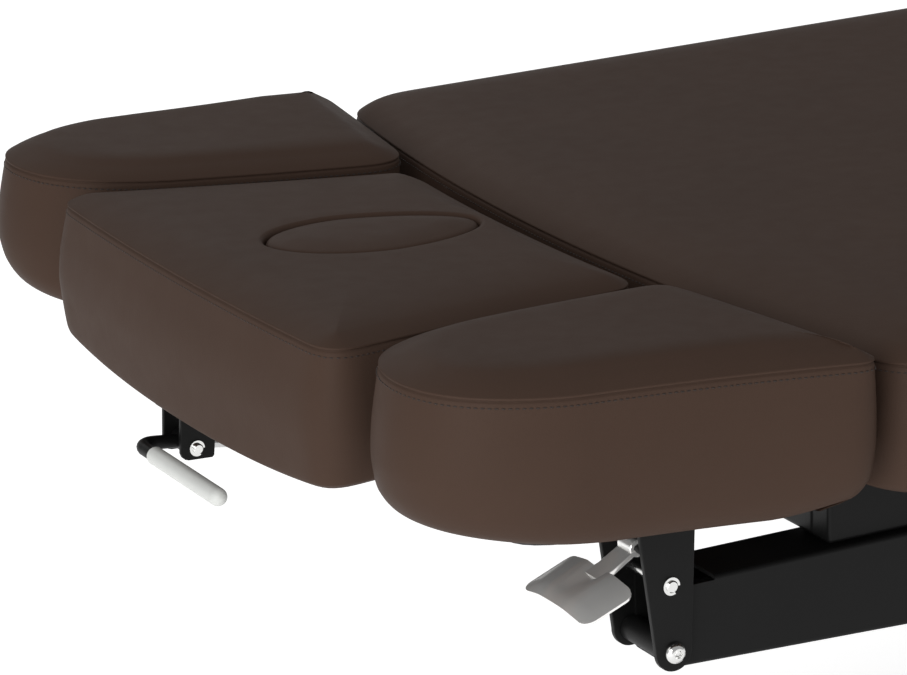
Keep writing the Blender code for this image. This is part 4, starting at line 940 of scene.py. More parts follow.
def raise_loop(bm, loop, ring):
    """Extrude a closed loop of vertices and set the copy on a ring of points"""
    place = {vert: i for i, vert in enumerate(loop)}
    edges = [bm.edges.get((a, b)) for a, b in zip(loop, loop[1:] + loop[:1])]
    raised = bmesh.ops.extrude_edge_only(bm, edges=edges)["geom"]
    new_loop = [None] * len(loop)
    for vert in (g for g in raised if isinstance(g, bmesh.types.BMVert)):
        old = next(e.other_vert(vert) for e in vert.link_edges if e.other_vert(vert) in place)
        new_loop[place[old]] = vert
        vert.co = ring[place[old]]
    return new_loop


def start_loop(bm, ring):
    """A closed loop of edges through a ring of points"""
    loop = [bm.verts.new(p) for p in ring]
    for a, b in zip(loop, loop[1:] + loop[:1]):
        bm.edges.new((a, b))
    return loop


def smooth_profile(points, steps):
    """A rounded line through a section's points"""
    line = [points[0]]
    padded = [points[0]] + points + [points[-1]]
    for a, b, c, d in zip(padded, padded[1:], padded[2:], padded[3:]):
        for i in range(1, steps + 1):
            t = i / steps
            line.append(0.5 * (2 * b + (c - a) * t + (2 * a - 5 * b + 4 * c - d) * t * t
                               + (3 * b - a - 3 * c + d) * t ** 3))
    return line


def side_profile(height, bulge, roll=1.0):
    """A side panel from under the cushion to its seam: distance out and height"""
    return smooth_profile([Vector(p) for p in (
        (-0.034 * roll, 0), (-0.019 * roll, 0.0012 * roll), (-0.0075 * roll, 0.0072 * roll),
        (0.0010, 0.020 * roll), (bulge * 0.78, height * 0.34),
        (bulge, height * 0.50), (bulge * 0.86, height * 0.68), (bulge * 0.44, height - 0.016),
        (0.0004, height - 0.002),
    )], PROFILE_STEPS)


def seam_profile(height, depth):
    """The crease between side and top panels, as distance out and height"""
    return [Vector(p) for p in ((-0.0002, height - 0.0008), (-depth, height), (-0.0001, height + 0.0008),
                                (0.0001, height + SEAM_LIP))]


def crown_height(distance, crown):
    """Rise of the top panel at a distance in from the seam"""
    return crown * (1 - (1 - min(distance / CROWN_REACH, 1)) ** CROWN_FULLNESS)


def ring_at(outline, away, out, height, swell=None):
    """A ring of points at a distance out from an outline, where bulging sides may swell unevenly"""
    shares = swell if swell and out > 0 else [1.0] * len(outline)
    return [Vector((p.x + n.x * out * s, p.y + n.y * out * s, height))
            for p, n, s in zip(outline, away, shares)]


def ring_toward(edge, goals, share, height):
    """A ring of points part of the way from an edge to its goals"""
    return [Vector((p.x + (g.x - p.x) * share, p.y + (g.y - p.y) * share, height))
            for p, g in zip(edge, goals)]


def spine_of(outline):
    """Where each outline point heads for in the middle of a cushion"""
    low = Vector((min(p.x for p in outline), min(p.y for p in outline)))
    high = Vector((max(p.x for p in outline), max(p.y for p in outline)))
    centre, half = (low + high) / 2, (high - low) / 2
    short = min(half.x, half.y) * SPINE_SHARE
    keep = Vector(((half.x - short) / half.x, (half.y - short) / half.y))
    return [Vector((centre.x + (p.x - centre.x) * keep.x, centre.y + (p.y - centre.y) * keep.y))
            for p in outline]


def edge_rings(outline, away, bottom, height, crown, swell=None, roll=1.0):
    """The rings of a cushion from under its edge over its seam to the top panel's rolled edge"""
    sizes = bpy.context.scene.cushion_sizes
    profile = side_profile(height, sizes.bulge, roll) + seam_profile(height, sizes.seam_depth)
    rings = [ring_at(outline, away, p.x, bottom + p.y, swell) for p in profile]
    for distance in ROLLED_EDGE:
        level = bottom + height + SEAM_LIP + crown_height(distance, crown - SEAM_LIP)
        rings.append(ring_at(outline, away, -distance, level))
    return rings


def top_rings(edge, goals, bottom, height, crown, steps, reach):
    """The rings of a top panel from its rolled edge to the middle or an opening"""
    rings = []
    for i in range(1, steps + 1):
        share = i / steps
        rise = crown_height(ROLLED_EDGE[-1] + share * reach, crown - SEAM_LIP)
        rings.append(ring_toward(edge, goals, share, bottom + height + SEAM_LIP + rise))
    return rings


def cushion_bmesh(outline, bottom, height, crown, swell=None, roll=1.0):
    """A closed cushion: flat underneath, barrel sides, creased seam and crowned top"""
    away = outward(outline)
    rings = edge_rings(outline, away, bottom, height, crown, swell, roll)
    goals = spine_of(outline)
    span = max(p.x for p in outline) - min(p.x for p in outline)
    reach = min(span, 2 * MAIN_HALF) / 2 * SPINE_SHARE
    return loft(rings + top_rings(rings[-1], goals, bottom, height, crown, TOP_STEPS, reach))


def main_cushion_bmesh(outline, bottom, height):
    """A section of the main deck, crowned higher than the head and arms"""
    crown = bpy.context.scene.cushion_sizes.main_crown
    return cushion_bmesh(outline, bottom, height, crown, None, MAIN_ROLL)


def arm_cushion_bmesh(outline, bottom, height):
    """An arm cushion: flatter behind, fuller in front, with its underside rising to the nose"""
    facing = -math.copysign(1.0, outline[0].y)
    swell = []
    for n in outward(outline):
        slim = (1 - ARM_REAR_SLIM * max(0.0, n.x)) * (1 - ARM_INNER_SLIM * max(0.0, facing * n.y))
        swell.append(ARM_BULGE_SHARE * slim + ARM_FRONT_SWELL * max(0.0, -n.x))
    bm = cushion_bmesh(outline, bottom, height, bpy.context.scene.cushion_sizes.crown, swell)
    bend = min(p.x for p in outline) + ARM_NOSE_LENGTH
    tail = max(p.x for p in outline) - ARM_TAIL_LENGTH
    inner = min(abs(p.y) for p in outline)
    span = max(abs(p.y) for p in outline) - inner
    seam = bottom + height
    for vert in bm.verts:
        ahead = max(0.0, bend - vert.co.x) / ARM_NOSE_LENGTH
        behind = max(0.0, vert.co.x - tail) / ARM_TAIL_LENGTH
        outer = min(1.0, max(0.0, (abs(vert.co.y) - inner) / span))
        low = max(0.0, 1 - 2 * (vert.co.z - bottom) / height)
        nose = ARM_NOSE_RISE + ARM_NOSE_SKEW * (outer - 0.5)
        rise = nose * ahead ** ARM_RISE_POWER + ARM_TAIL_RISE * behind ** ARM_RISE_POWER
        full = min(1.0, max(0.0, vert.co.z - seam) / CROWN_BLEND) ** 2
        even = max(0.0, 1 - behind - 0.5 * ahead)
        vert.co.z += rise * low * (2 - low) + ARM_OUTER_CROWN * outer * full * even
    return bm


def nearest_turn(outline, other):
    """The second outline's points matched to the first's by their direction from its middle"""
    centre = sum(other, Vector((0, 0))) / len(other)
    angles = [math.atan2(p.y - centre.y, p.x - centre.x) for p in other]
    matched = []
    for p in outline:
        angle = math.atan2(p.y - centre.y, p.x - centre.x)
        k = min(range(len(other)), key=lambda i: abs(math.remainder(angles[i] - angle, 2 * math.pi)))
        gap = math.remainder(angle - angles[k], 2 * math.pi)
        step = 1 if gap > 0 else -1
        near = other[(k + step) % len(other)]
        width = abs(math.remainder(angles[(k + step) % len(other)] - angles[k], 2 * math.pi))
        matched.append(other[k].lerp(near, min(1, abs(gap) / width)))
    return matched


def head_cushion_bmesh(outline, bottom, height):
    """The head cushion: as the others, with the face opening through its middle"""
    away = outward(outline)
    crown = bpy.context.scene.cushion_sizes.crown
    rings = edge_rings(outline, away, bottom, height, crown, None, HEAD_ROLL)
    rim = softened(nearest_turn(outline, egg_outline(OPENING_MARGIN)), 3)
    rings += top_rings(rings[-1], rim, bottom, height, crown, OPENING_STEPS, OPENING_REACH)
    inward = outward(rim)
    top = rings[-1][0].z
    depth = top - bottom
    wall = [(OPENING_WALL, drop) for drop in (0.020, 0.060, depth - 0.004)]
    foot = [(OPENING_WALL - 0.001, depth - 0.0006), (OPENING_WALL - 0.002, depth)]
    rings += [ring_at(rim, inward, -out, top - drop) for out, drop in OPENING_LIP + wall + foot]
    bm = bmesh.new()
    first = start_loop(bm, rings[0])
    loop = first
    for ring in rings[1:]:
        loop = raise_loop(bm, loop, ring)
    edges = [bm.edges.get((a, b)) for ends in (first, loop) for a, b in zip(ends, ends[1:] + ends[:1])]
    bmesh.ops.bridge_loops(bm, edges=edges)
    bend = min(p.x for p in outline) + HEAD_SAG_LENGTH
    for vert in bm.verts:
        ahead = min(1.0, max(0.0, bend - vert.co.x) / HEAD_SAG_LENGTH * 2)
        across = min(1.0, abs(vert.co.y) / HEAD_FRONT_HALF)
        low = max(0.0, 1 - 2 * (vert.co.z - bottom) / height)
        vert.co.z += (HEAD_CORNER_LIFT * across ** 3 - HEAD_SAG * ahead * (1 - across ** 2)) * low
    return bm


def plug_bmesh():
    """The face plug: a padded egg with a rolled rim"""
    sizes = bpy.context.scene.cushion_sizes
    outline = egg_outline(-0.0004)
    away = outward(outline)
    goals = spine_of(outline)
    bottom = HEAD_BOTTOM + HEAD_PAD_HEIGHT + sizes.crown - PLUG_SINK - PLUG_DEPTH
    top = PLUG_DEPTH
    sides = [(-0.006, 0), (-0.002, 0.001), (0, 0.004), (0, 0.030), (0, top - 0.0080)]
    rim = [(-0.0003, top - 0.0050), (-0.0012, top - 0.0028), (-0.0026, top - 0.0012),
           (-0.0046, top - 0.0003), (-0.0075, top + 0.0002)]
    rings = [ring_at(outline, away, out, bottom + level) for out, level in sides + rim]
    edge = rings[-1]
    for i in range(1, PLUG_STEPS + 1):
        share = i / PLUG_STEPS
        level = edge[0].z + PLUG_CROWN * (1 - (1 - share) ** PLUG_FULLNESS)
        rings.append(ring_toward(edge, goals, share, level))
    return loft(rings)


def stitch_bmesh(outline, bottom, height):
    """A row of stitches round the side panel, just under the seam"""
    sizes = bpy.context.scene.cushion_sizes
    profile = side_profile(height, sizes.bulge)
    level = height - sizes.stitch_drop
    above = next(i for i, p in enumerate(profile) if p.y >= level)
    low, high = profile[above - 1], profile[above]
    out = low.x + (high.x - low.x) * (level - low.y) / (high.y - low.y)
    row = evenly(outline, sizes.stitch_pitch)
    stitch = bmesh.new()
    bmesh.ops.create_uvsphere(stitch, u_segments=6, v_segments=4, radius=1.0)
    thread_radius, half_stitch = sizes.stitch_radius, sizes.stitch_pitch * STITCH_SHARE
    size = Matrix.Diagonal((thread_radius, thread_radius, half_stitch, 1))
    bmesh.ops.transform(stitch, matrix=Matrix.Rotation(math.pi / 2, 4, "Y") @ size, verts=stitch.verts)
    places = []
    for p, n in zip(row, outward(row)):
        turn = Matrix(((-n.y, n.x, 0), (n.x, n.y, 0), (0, 0, 1))).transposed().to_4x4()
        places.append(Matrix.Translation((p.x + n.x * out, p.y + n.y * out, bottom + level)) @ turn)
    return copies(stitch, places)


def upholster(name, body, node, outline, bottom, height, turn=None, make=main_cushion_bmesh):
    """A cushion and its stitching in place of a frame's pad"""
    outline = softened(evenly(outline, OUTLINE_STEP), 2)
    cushion = add_piece(name + "_cushion", make(outline, bottom, height), body, "leather", [node],
                        turn=turn, hard=False)
    add_piece(name + "_stitching", stitch_bmesh(outline, bottom, height), body, "leather", finish="thread",
              turn=turn, hard=False)


class BED_OT_cushions(bpy.types.Operator):
    """Upholster every section of the bed"""
    bl_idname = "bed.cushions"
    bl_label = "Cushions and stitching"

    def execute(self, context):
        tilt = turned_about(HEAD_HINGE, TILT)
        head = [Vector((p.x - HEAD_LEAN, p.y)) for p in head_outline()]
        upholster("head", "head", "head_pad", head, HEAD_BOTTOM, HEAD_PAD_HEIGHT, tilt, head_cushion_bmesh)
        plug = add_piece("face_plug_cushion", plug_bmesh(), "face_plug", "leather", ["face_plug"],
                         turn=tilt, hard=False)
        for side, sign in SIDES.items():
            outline = [Vector((p.x - ARM_LEAN, p.y)) for p in arm_outline(sign)]
            arm = "arm_" + side
            upholster(arm, arm, "arm_pad_" + side, outline, DECK_HEIGHT, ARM_PAD_HEIGHT,
                      turned_about(ARM_PIVOT[side], TILT), arm_cushion_bmesh)
        seat = slab_outline(SEAT_FRONT_X, SEAT_REAR_X, SLAB_CORNER, SLAB_CORNER)
        leg = slab_outline(LEG_FRONT_X, LEG_REAR_X, SLAB_CORNER, FOOT_CORNER)
        deck = (("back", "back", back_outline()), ("seat", "lift", seat), ("leg", "leg", leg))
        for name, body, outline in deck:
            upholster(name, body, name + "_pad", outline, DECK_HEIGHT, MAIN_PAD_HEIGHT)
        return {"FINISHED"}


def beam_bottom(x):
    """The arm beam's sloping underside at a place along X"""
    return BEAM_TOP - BEAM_HEIGHT - BEAM_TAPER * (x - BEAM_FRONT_X)


def beam_bmesh(y):
    """A tapered square tube, open at its nose, with its top cut away over the pivot sleeve"""
    front, rear = BEAM_FRONT_X, BEAM_FRONT_X + BEAM_LENGTH
    half = BEAM_WIDTH / 2
    bm = block((front, rear), around(y, half), (BEAM_TOP - BEAM_HEIGHT, BEAM_TOP))
    for vert in bm.verts:
        if vert.co.z < BEAM_TOP - BEAM_HEIGHT / 2:
            vert.co.z = beam_bottom(vert.co.x)
    long_edges = [e for e in bm.edges if abs(e.verts[0].co.x - e.verts[1].co.x) > BEAM_LENGTH / 2]
    round_edges(bm, long_edges, bpy.context.scene.fitting_sizes.tube_round, 4)
    bm.normal_update()
    bmesh.ops.delete(bm, geom=[f for f in bm.faces if abs(f.normal.x) > 0.9], context="FACES")
    notch = front + NOTCH_LENGTH
    cut(bm, (notch, 0, 0), (1, 0, 0))
    bm.normal_update()
    top = [f for f in bm.faces if f.normal.z > 0.1 and f.calc_center_median().x < notch]
    bmesh.ops.delete(bm, geom=top, context="FACES")
    bmesh.ops.recalc_face_normals(bm, faces=bm.faces)
    bmesh.ops.solidify(bm, geom=bm.faces[:], thickness=BEAM_WALL)
    pivot = Vector((ARM_PIVOT["near"].x, y, ARM_PIVOT["near"].z))
    return merged([bm, bush(pivot, half, BOLT_RADIUS + GAP, SLEEVE_RADIUS)])


def arm_bracket_bmesh(pivot):
    """Two tapered plates under a flange, with the paddle's pin between them"""
    top = RAIL_TOP
    outline = [(pivot.x - PLATE_TOP_FRONT, top)] + arc_points(pivot, PLATE_FOOT_RADIUS, 180, 360, 12)
    outline.append((pivot.x + PLATE_TOP_REAR, top))
    y = pivot.y
    return merged([
        plate(outline, (y + PLATE_INNER, y + PLATE_OUTER)),
        plate(outline, (y - PLATE_OUTER, y - PLATE_INNER)),
        bar((pivot.x - FLANGE_FRONT, pivot.x + FLANGE_REAR), around(y, PLATE_OUTER + PLATE_FLANGE),
            (top - PLATE_THICKNESS, top), 0.0015),
        cross_pin(pivot + PADDLE_PIN, PLATE_INNER + PLATE_THICKNESS / 2, PADDLE_PIN_RADIUS),
    ])


def arm_bolt_bmesh(pivot):
    """The pivot bolt: domed socket head outside, nut inside"""
    out = PLATE_OUTER + GAP
    outside = 1 if pivot.y > 0 else -1
    head_y, nut_y = pivot.y + outside * out, pivot.y - outside * out
    shaft_end = (pivot.x, nut_y - outside * BOLT_HEAD_HEIGHT, pivot.z)
    return merged([
        rod((pivot.x, head_y, pivot.z), shaft_end, BOLT_RADIUS),
        button_head(pivot, head_y, outside),
        hexagon((pivot.x, nut_y, pivot.z), (0, -outside, 0), BOLT_HEAD_RADIUS, BOLT_HEAD_HEIGHT),
    ])


def lock_pin_bmesh(pivot):
    """The lock pin with a retaining clip at each end"""
    return clipped_pin(pivot + LOCK_PIN, PLATE_OUTER + GAP, BOLT_HEAD_HEIGHT / 2, LOCK_PIN_RADIUS,
                       LOCK_CLIP)


def paddle_bmesh(pivot):
    """A stamped release paddle: a dished blade with folded wings on a narrow stem with an eye"""
    pin = pivot + PADDLE_PIN
    half = PADDLE_WIDTH / 2
    bm = bmesh.new()
    bmesh.ops.create_grid(bm, x_segments=1, y_segments=1, size=0.5)
    bmesh.ops.scale(bm, vec=(PADDLE_DEPTH, PADDLE_WIDTH, 1), verts=bm.verts)
    bmesh.ops.translate(bm, vec=(-PADDLE_DEPTH / 2, 0, 0), verts=bm.verts)
    bmesh.ops.bevel(bm, geom=bm.verts[:], offset=PADDLE_CORNER, segments=5, profile=0.5, affect="VERTICES",
                    material=-1)
    for i in range(1, PADDLE_CUTS_ACROSS):
        cut(bm, (0, PADDLE_WIDTH * i / PADDLE_CUTS_ACROSS - half, 0), (0, 1, 0))
    for i in range(1, PADDLE_CUTS_ALONG):
        cut(bm, (PADDLE_DEPTH * i / PADDLE_CUTS_ALONG - PADDLE_DEPTH, 0, 0), (1, 0, 0))
    for vert in bm.verts:
        out = abs(vert.co.y)
        wing = max(0.0, out - PADDLE_FOLD)
        lip = max(0.0, -vert.co.x - PADDLE_DEPTH + PADDLE_LIP)
        side_lip = max(0.0, out - half + PADDLE_SIDE_LIP)
        dish = PADDLE_DISH * max(0.0, 1 - out / PADDLE_FOLD) * (1 + vert.co.x / PADDLE_DEPTH)
        droop = PADDLE_DROOP * wing * wing / (wing + PADDLE_FOLD_ROUND)
        curl = PADDLE_LIP_CURL * lip * lip + PADDLE_SIDE_CURL * side_lip * side_lip
        vert.co.z = -droop - dish - curl
    bmesh.ops.recalc_face_normals(bm, faces=bm.faces)
    bmesh.ops.solidify(bm, geom=bm.faces[:], thickness=PADDLE_SHEET)
    neck = Vector((pin.x - STEM_REACH, pin.y, pin.z - STEM_DROP))
    slope = Matrix.Translation(neck) @ Matrix.Rotation(-PADDLE_SLOPE, 4, "Y")
    bmesh.ops.transform(bm, matrix=slope, verts=bm.verts)
    over = [(pin.x, pin.z + 0.001), (neck.x + 0.004, neck.z + 0.002), (neck.x - 0.008, neck.z - 0.003)]
    under = [(neck.x - 0.007, neck.z - 0.0055), (neck.x + 0.005, neck.z - PADDLE_SHEET),
             (pin.x + 0.001, pin.z - PADDLE_SHEET)]
    bore = PADDLE_PIN_RADIUS + GAP
    return merged([bm, plate(over + under, around(pin.y, STEM_WIDTH / 2)),
                   bush(pin, STEM_WIDTH / 2 - 0.001, bore, bore + 0.003)])


class BED_OT_arm_fittings(bpy.types.Operator):
    """Make the arm sections' beams, brackets, bolts, lock pins and release paddles"""
    bl_idname = "bed.arm_fittings"
    bl_label = "Arm fittings"

    def execute(self, context):
        rear = BEAM_FRONT_X + BEAM_LENGTH
        for side in SIDES:
            pivot, arm = ARM_PIVOT[side], "arm_" + side
            tilt = turned_about(pivot, TILT)
            add_piece("arm_tube_" + side, beam_bmesh(pivot.y), "back", "black_paint", ["arm_beam_" + side])
            cap = bar((rear - BEAM_CAP_DEPTH, rear), around(pivot.y, BEAM_WIDTH / 2 - BEAM_WALL),
                      (beam_bottom(rear) + BEAM_WALL + 0.001, BEAM_TOP - BEAM_WALL), 0.002)
            add_piece("arm_tube_cap_" + side, cap, "back", "plastic")
            for name, bm, slot, node in (
                    ("arm_hanger_", arm_bracket_bmesh(pivot), "black_paint", "arm_bracket_"),
                    ("arm_bolt_", arm_bolt_bmesh(pivot), "chrome", "arm_pivot_bolt_"),
                    ("arm_clip_pin_", lock_pin_bmesh(pivot), "chrome", "arm_lock_pin_")):
                add_piece(name + side, bm, arm, slot, [node + side], turn=tilt)
            add_piece("arm_release_" + side, paddle_bmesh(pivot), arm + "_paddle", "chrome",
                      ["arm_paddle_" + side], finish="paddle", turn=tilt)
        return {"FINISHED"}


def lever_bracket_bmesh():
    """Two cheeks under a flange for the head lever's pin"""
    x, y = LEVER_PIN.x, LEVER_PIN.y
    low = LEVER_PIN.z - CHEEK_DROP
    outer = CHEEK_SPAN / 2
    inner = outer - CHEEK_THICKNESS
    front = [(x - 0.0125, HEAD_UNDER), (x - 0.0125, low + 0.006), (x - 0.0112, low + 0.0028),
             (x - 0.0088, low + 0.0008), (x - 0.0060, low)]
    rear = [(x + 0.0130, low), (x + 0.0146, low + 0.0016), (x + 0.0165, HEAD_UNDER)]
    cheek = front + rear
    return merged([plate(cheek, (y - outer, y - inner)), plate(cheek, (y + inner, y + outer)),
                   bar((x - 0.016, x + 0.045), around(y, outer + 0.004),
                       (HEAD_UNDER - CHEEK_THICKNESS, HEAD_UNDER), 0.0012)])


def lever_pin_bmesh():
    """The lever's pin with a clip at each end"""
    return clipped_pin(LEVER_PIN, CHEEK_SPAN / 2 + GAP, LEVER_PIN_RADIUS - GAP, LEVER_PIN_RADIUS,
                       LEVER_CLIP)


def lever_path():
    """The middle line of the lever's bent rod, from its hub round the bend into the grip"""
    bend = LEVER_PIN + Vector((-LEVER_REACH, LEVER_SHIFT, LEVER_RISE))
    start = LEVER_PIN + Vector((0, LEVER_SHIFT, 0))
    along = (bend - start).normalized()
    across = Vector((0, -1, 0))
    corner = bend - along * LEVER_TURN
    path = [start, start.lerp(corner, 0.5)]
    for i in range(11):
        a = math.pi / 2 * i / 10
        path.append(corner + along * LEVER_TURN * math.sin(a) + across * LEVER_TURN * (1 - math.cos(a)))
    path.append(bend + across * (GRIP_START + GRIP_LENGTH - GRIP_CAP))
    return bend, path


def lever_bmesh():
    """A bent rod on a hub"""
    path = lever_path()[1]
    hub_half = CHEEK_SPAN / 2 - CHEEK_THICKNESS - GAP
    hub = bush(LEVER_PIN, hub_half, LEVER_PIN_RADIUS + GAP, LEVER_PIN_RADIUS + 0.004)
    return merged([swept(path, LEVER_RADIUS), hub])


def grip_bmesh():
    """A soft grip, rolled at its mouth and round at its end"""
    bend = lever_path()[0]
    radius = GRIP_RADIUS
    mouth = [(0.004, 0.0), (0.004, LEVER_RADIUS), (0.0, LEVER_RADIUS), (0.0, radius - 0.0012),
             (0.0005, radius - 0.0004), (0.0016, radius)]
    body = [(GRIP_LENGTH * share, radius) for share in (0.25, 0.5, 0.75)]
    turns = [math.pi / 2 * i / 7 for i in range(7)]
    dome = [(GRIP_LENGTH - radius + radius * math.sin(a), radius * math.cos(a)) for a in turns]
    profile = mouth + body + dome + [(GRIP_LENGTH, 0.0)]
    return spun(profile, bend - Vector((0, GRIP_START, 0)), (0, -1, 0), 28)


def hinge_leaf_bmesh():
    """The head hinge's leaf with its two knuckles"""
    parts = [bar((HEAD_HINGE.x - LEAF_LENGTH, HEAD_HINGE.x - KNUCKLE_RADIUS * 0.4),
                 around(0, HEAD_HINGE_Y + KNUCKLE_HALF), (HEAD_UNDER - LEAF_THICKNESS, HEAD_UNDER), 0.001)]
    for sign in (-1, 1):
        knuckle = Vector((HEAD_HINGE.x, sign * HEAD_HINGE_Y, HEAD_HINGE.z))
        parts.append(bush(knuckle, KNUCKLE_HALF, PIN_RADIUS + GAP, KNUCKLE_RADIUS))
    return merged(parts)


class BED_OT_head_fittings(bpy.types.Operator):
    """Make the head section's lever, its bracket and pin, and the hinge leaf"""
    bl_idname = "bed.head_fittings"
    bl_label = "Head fittings"

    def execute(self, context):
        tilt = turned_about(HEAD_HINGE, TILT)
        for name, bm, body, slot, node in (
                ("lever_hanger", lever_bracket_bmesh(), "head", "black_paint", "head_lever_bracket"),
                ("lever_clip_pin", lever_pin_bmesh(), "head", "chrome", "head_lever_pin"),
                ("lever_rod", lever_bmesh(), "head_lever", "black_paint", "head_lever"),
                ("lever_handle", grip_bmesh(), "head_lever", "grip", "head_lever_grip"),
                ("hinge_leaf", hinge_leaf_bmesh(), "head", "black_paint", "head_hinge_leaf")):
            add_piece(name, bm, body, slot, [node], turn=tilt)
        return {"FINISHED"}


def lug_parts(pin, x, z):
    """Two cheek plates round an eye and the pin through them"""
    inner = EYE_HALF + GAP
    outer = inner + LUG_THICKNESS
    parts = [bar(x, (pin.y + s * inner, pin.y + s * outer), z, LUG_ROUND) for s in (-1, 1)]
    return parts + [cross_pin(pin, outer - LUG_THICKNESS / 2, PIN_RADIUS)]


def base_parts():
    """Floor rails, column crosses and the spine between them"""
    rail, cross, spine = ((BASE_BOTTOM + i * STEP_IN, BASE_TOP - i * STEP_IN) for i in range(3))
    length, width = around(0, BASE_HALF_LENGTH), around(0, BASE_RAIL_Y)
    parts = [bar(length, around(y, BASE_TUBE_HALF), rail) for y in width]
    parts += [bar(around(x, BASE_CROSS_HALF), width, cross) for x in COLUMN_X.values()]
    parts.append(bar(COLUMN_X.values(), around(0, BASE_SPINE_HALF), spine))
    return parts


def top_frame_parts():
    """Upper rails, seat risers, column crosses, hinge plates and the actuators' anchors"""
    rail_in, rail_out = around(TOP_RAIL_Y, RAIL_HALF)
    tie_front = BACK_HINGE.x + TIE_SETBACK
    tie_rear = tie_front + CROSS_WIDTH
    plate_end = TOP_PLATE_Y + HINGE_PLATE
    rear = SEAT_REAR_X + TOP_RAIL_TAIL
    side = [(tie_rear, TIE_TOP)] + arc_points(BACK_HINGE, HINGE_PLATE_HALF, 0, 180, 15)
    side += [(BACK_HINGE.x - HINGE_PLATE_HALF, HINGE_PLATE_NECK),
             (BACK_HINGE.x + TOP_PLATE_HEEL, HINGE_PLATE_LOW), (tie_rear, HINGE_PLATE_LOW)]
    parts = []
    for s in (-1, 1):
        parts += [
            bar((COLUMN_X["head"] - TOP_RAIL_LEAD, rear), (s * rail_in, s * rail_out),
                (TOP_RAIL_BOTTOM, TOP_RAIL_TOP)),
            bar((SEAT_FRONT_X + RISER_SETBACK, rear - STEP_IN),
                (s * (rail_in + STEP_IN), s * (rail_out - STEP_IN)), (TOP_RAIL_BOTTOM + WELD, RAIL_TOP)),
            bar((tie_front, tie_rear), (s * (rail_in + 2 * STEP_IN), s * plate_end),
                (TIE_BOTTOM, TIE_TOP)),
            plate(side, (s * TOP_PLATE_Y, s * plate_end)),
        ]
    parts += [bar(around(x, TOP_CROSS_HALF), around(0, rail_out - STEP_IN),
                  (TOP_CROSS_BOTTOM, TOP_RAIL_BOTTOM + CROSS_LAP)) for x in COLUMN_X.values()]
    parts += lug_parts(BACK_ANCHOR, (BACK_ANCHOR.x - EYE_RADIUS, COLUMN_X["foot"] - WELD),
                       around(BACK_ANCHOR.z, EYE_RADIUS))
    hanger = COLUMN_X["head"] + HANGER_SETBACK
    hanger_half = EYE_HALF + GAP + LUG_THICKNESS + HANGER_LIP
    parts += lug_parts(LEG_ANCHOR, (hanger, LEG_ANCHOR.x + EYE_RADIUS), around(LEG_ANCHOR.z, EYE_RADIUS))
    parts.append(bar(around(hanger, HANGER_HALF), around(ACTUATOR_Y, hanger_half),
                     (LEG_ANCHOR.z - WELD, TOP_CROSS_BOTTOM + WELD), HANGER_ROUND))
    return parts


def back_frame_parts():
    """Back rails and crosses, hinge plates, head hinge ears, spring anchor and actuator lug"""
    front = BACK_FRONT_X + BACK_RAIL_SETBACK
    rear_cross = BACK_HINGE.x - BACK_CROSS_SETBACK
    rear = rear_cross + CROSS_WIDTH
    plate_end = BACK_PLATE_Y + HINGE_PLATE
    ear_inner = HEAD_HINGE_Y + KNUCKLE_HALF + GAP
    ear_outer = ear_inner + EAR_LENGTH
    lug_cross = BACK_LUG.x - CROSS_WIDTH
    rail = around(ARM_CENTRE_Y, RAIL_HALF)
    side = arc_points(BACK_HINGE, HINGE_PLATE_HALF, 0, 180, 15)
    side += [(rear_cross + STEP_IN, TIE_TOP), (rear_cross + STEP_IN, HINGE_PLATE_LOW),
             (BACK_HINGE.x - BACK_PLATE_HEEL, HINGE_PLATE_LOW),
             (BACK_HINGE.x + HINGE_PLATE_HALF, HINGE_PLATE_NECK)]
    parts = []
    for s in (-1, 1):
        ear = Vector((HEAD_HINGE.x, s * (ear_inner + ear_outer) / 2, HEAD_HINGE.z))
        parts += [
            bar((front, rear), (s * rail[0], s * rail[1]), (RAIL_BOTTOM, RAIL_TOP)),
            bar((rear_cross, rear - STEP_IN), (s * ARM_CENTRE_Y, s * plate_end), (TIE_BOTTOM, TIE_TOP)),
            plate(side, (s * BACK_PLATE_Y, s * plate_end)),
            bush(ear, EAR_LENGTH / 2, PIN_RADIUS + GAP, KNUCKLE_RADIUS),
            bar((HEAD_HINGE.x + KNUCKLE_RADIUS * 0.7, front + WELD), (s * ear_inner, s * ear_outer),
                (HEAD_HINGE.z - KNUCKLE_RADIUS * 0.9, HEAD_HINGE.z + KNUCKLE_RADIUS * 0.5), LUG_ROUND),
        ]
    parts += [bar((x - STEP_IN, x + CROSS_WIDTH), around(0, ARM_CENTRE_Y),
                  (RAIL_BOTTOM + STEP_IN, RAIL_TOP - STEP_IN)) for x in (front, lug_cross)]
    parts += lug_parts(HEAD_ANCHOR, around(HEAD_ANCHOR.x, EYE_RADIUS),
                       (HEAD_ANCHOR.z - EYE_RADIUS, RAIL_BOTTOM + WELD))
    return parts + lug_parts(BACK_LUG, (lug_cross + WELD / 2, BACK_LUG.x + EYE_RADIUS),
                             around(BACK_LUG.z, EYE_RADIUS))


def leg_frame_parts():
    """Leg rails and crosses with the actuator's lug"""
    front, rear = LEG_HINGE.x - LEG_RAIL_LEAD, LEG_REAR_X - LEG_RAIL_TAIL
    width = around(0, LEG_RAIL_Y)
    parts = [bar((front, rear), around(y, RAIL_HALF), (RAIL_BOTTOM, RAIL_TOP)) for y in width]
    parts += [bar((x, x + CROSS_WIDTH), width, (RAIL_BOTTOM + STEP_IN, RAIL_TOP - STEP_IN))
              for x in (LEG_LUG.x, rear - CROSS_WIDTH - STEP_IN)]
    return parts + lug_parts(LEG_LUG, around(LEG_LUG.x, EYE_RADIUS),
                             (LEG_LUG.z - EYE_RADIUS, RAIL_BOTTOM + WELD))


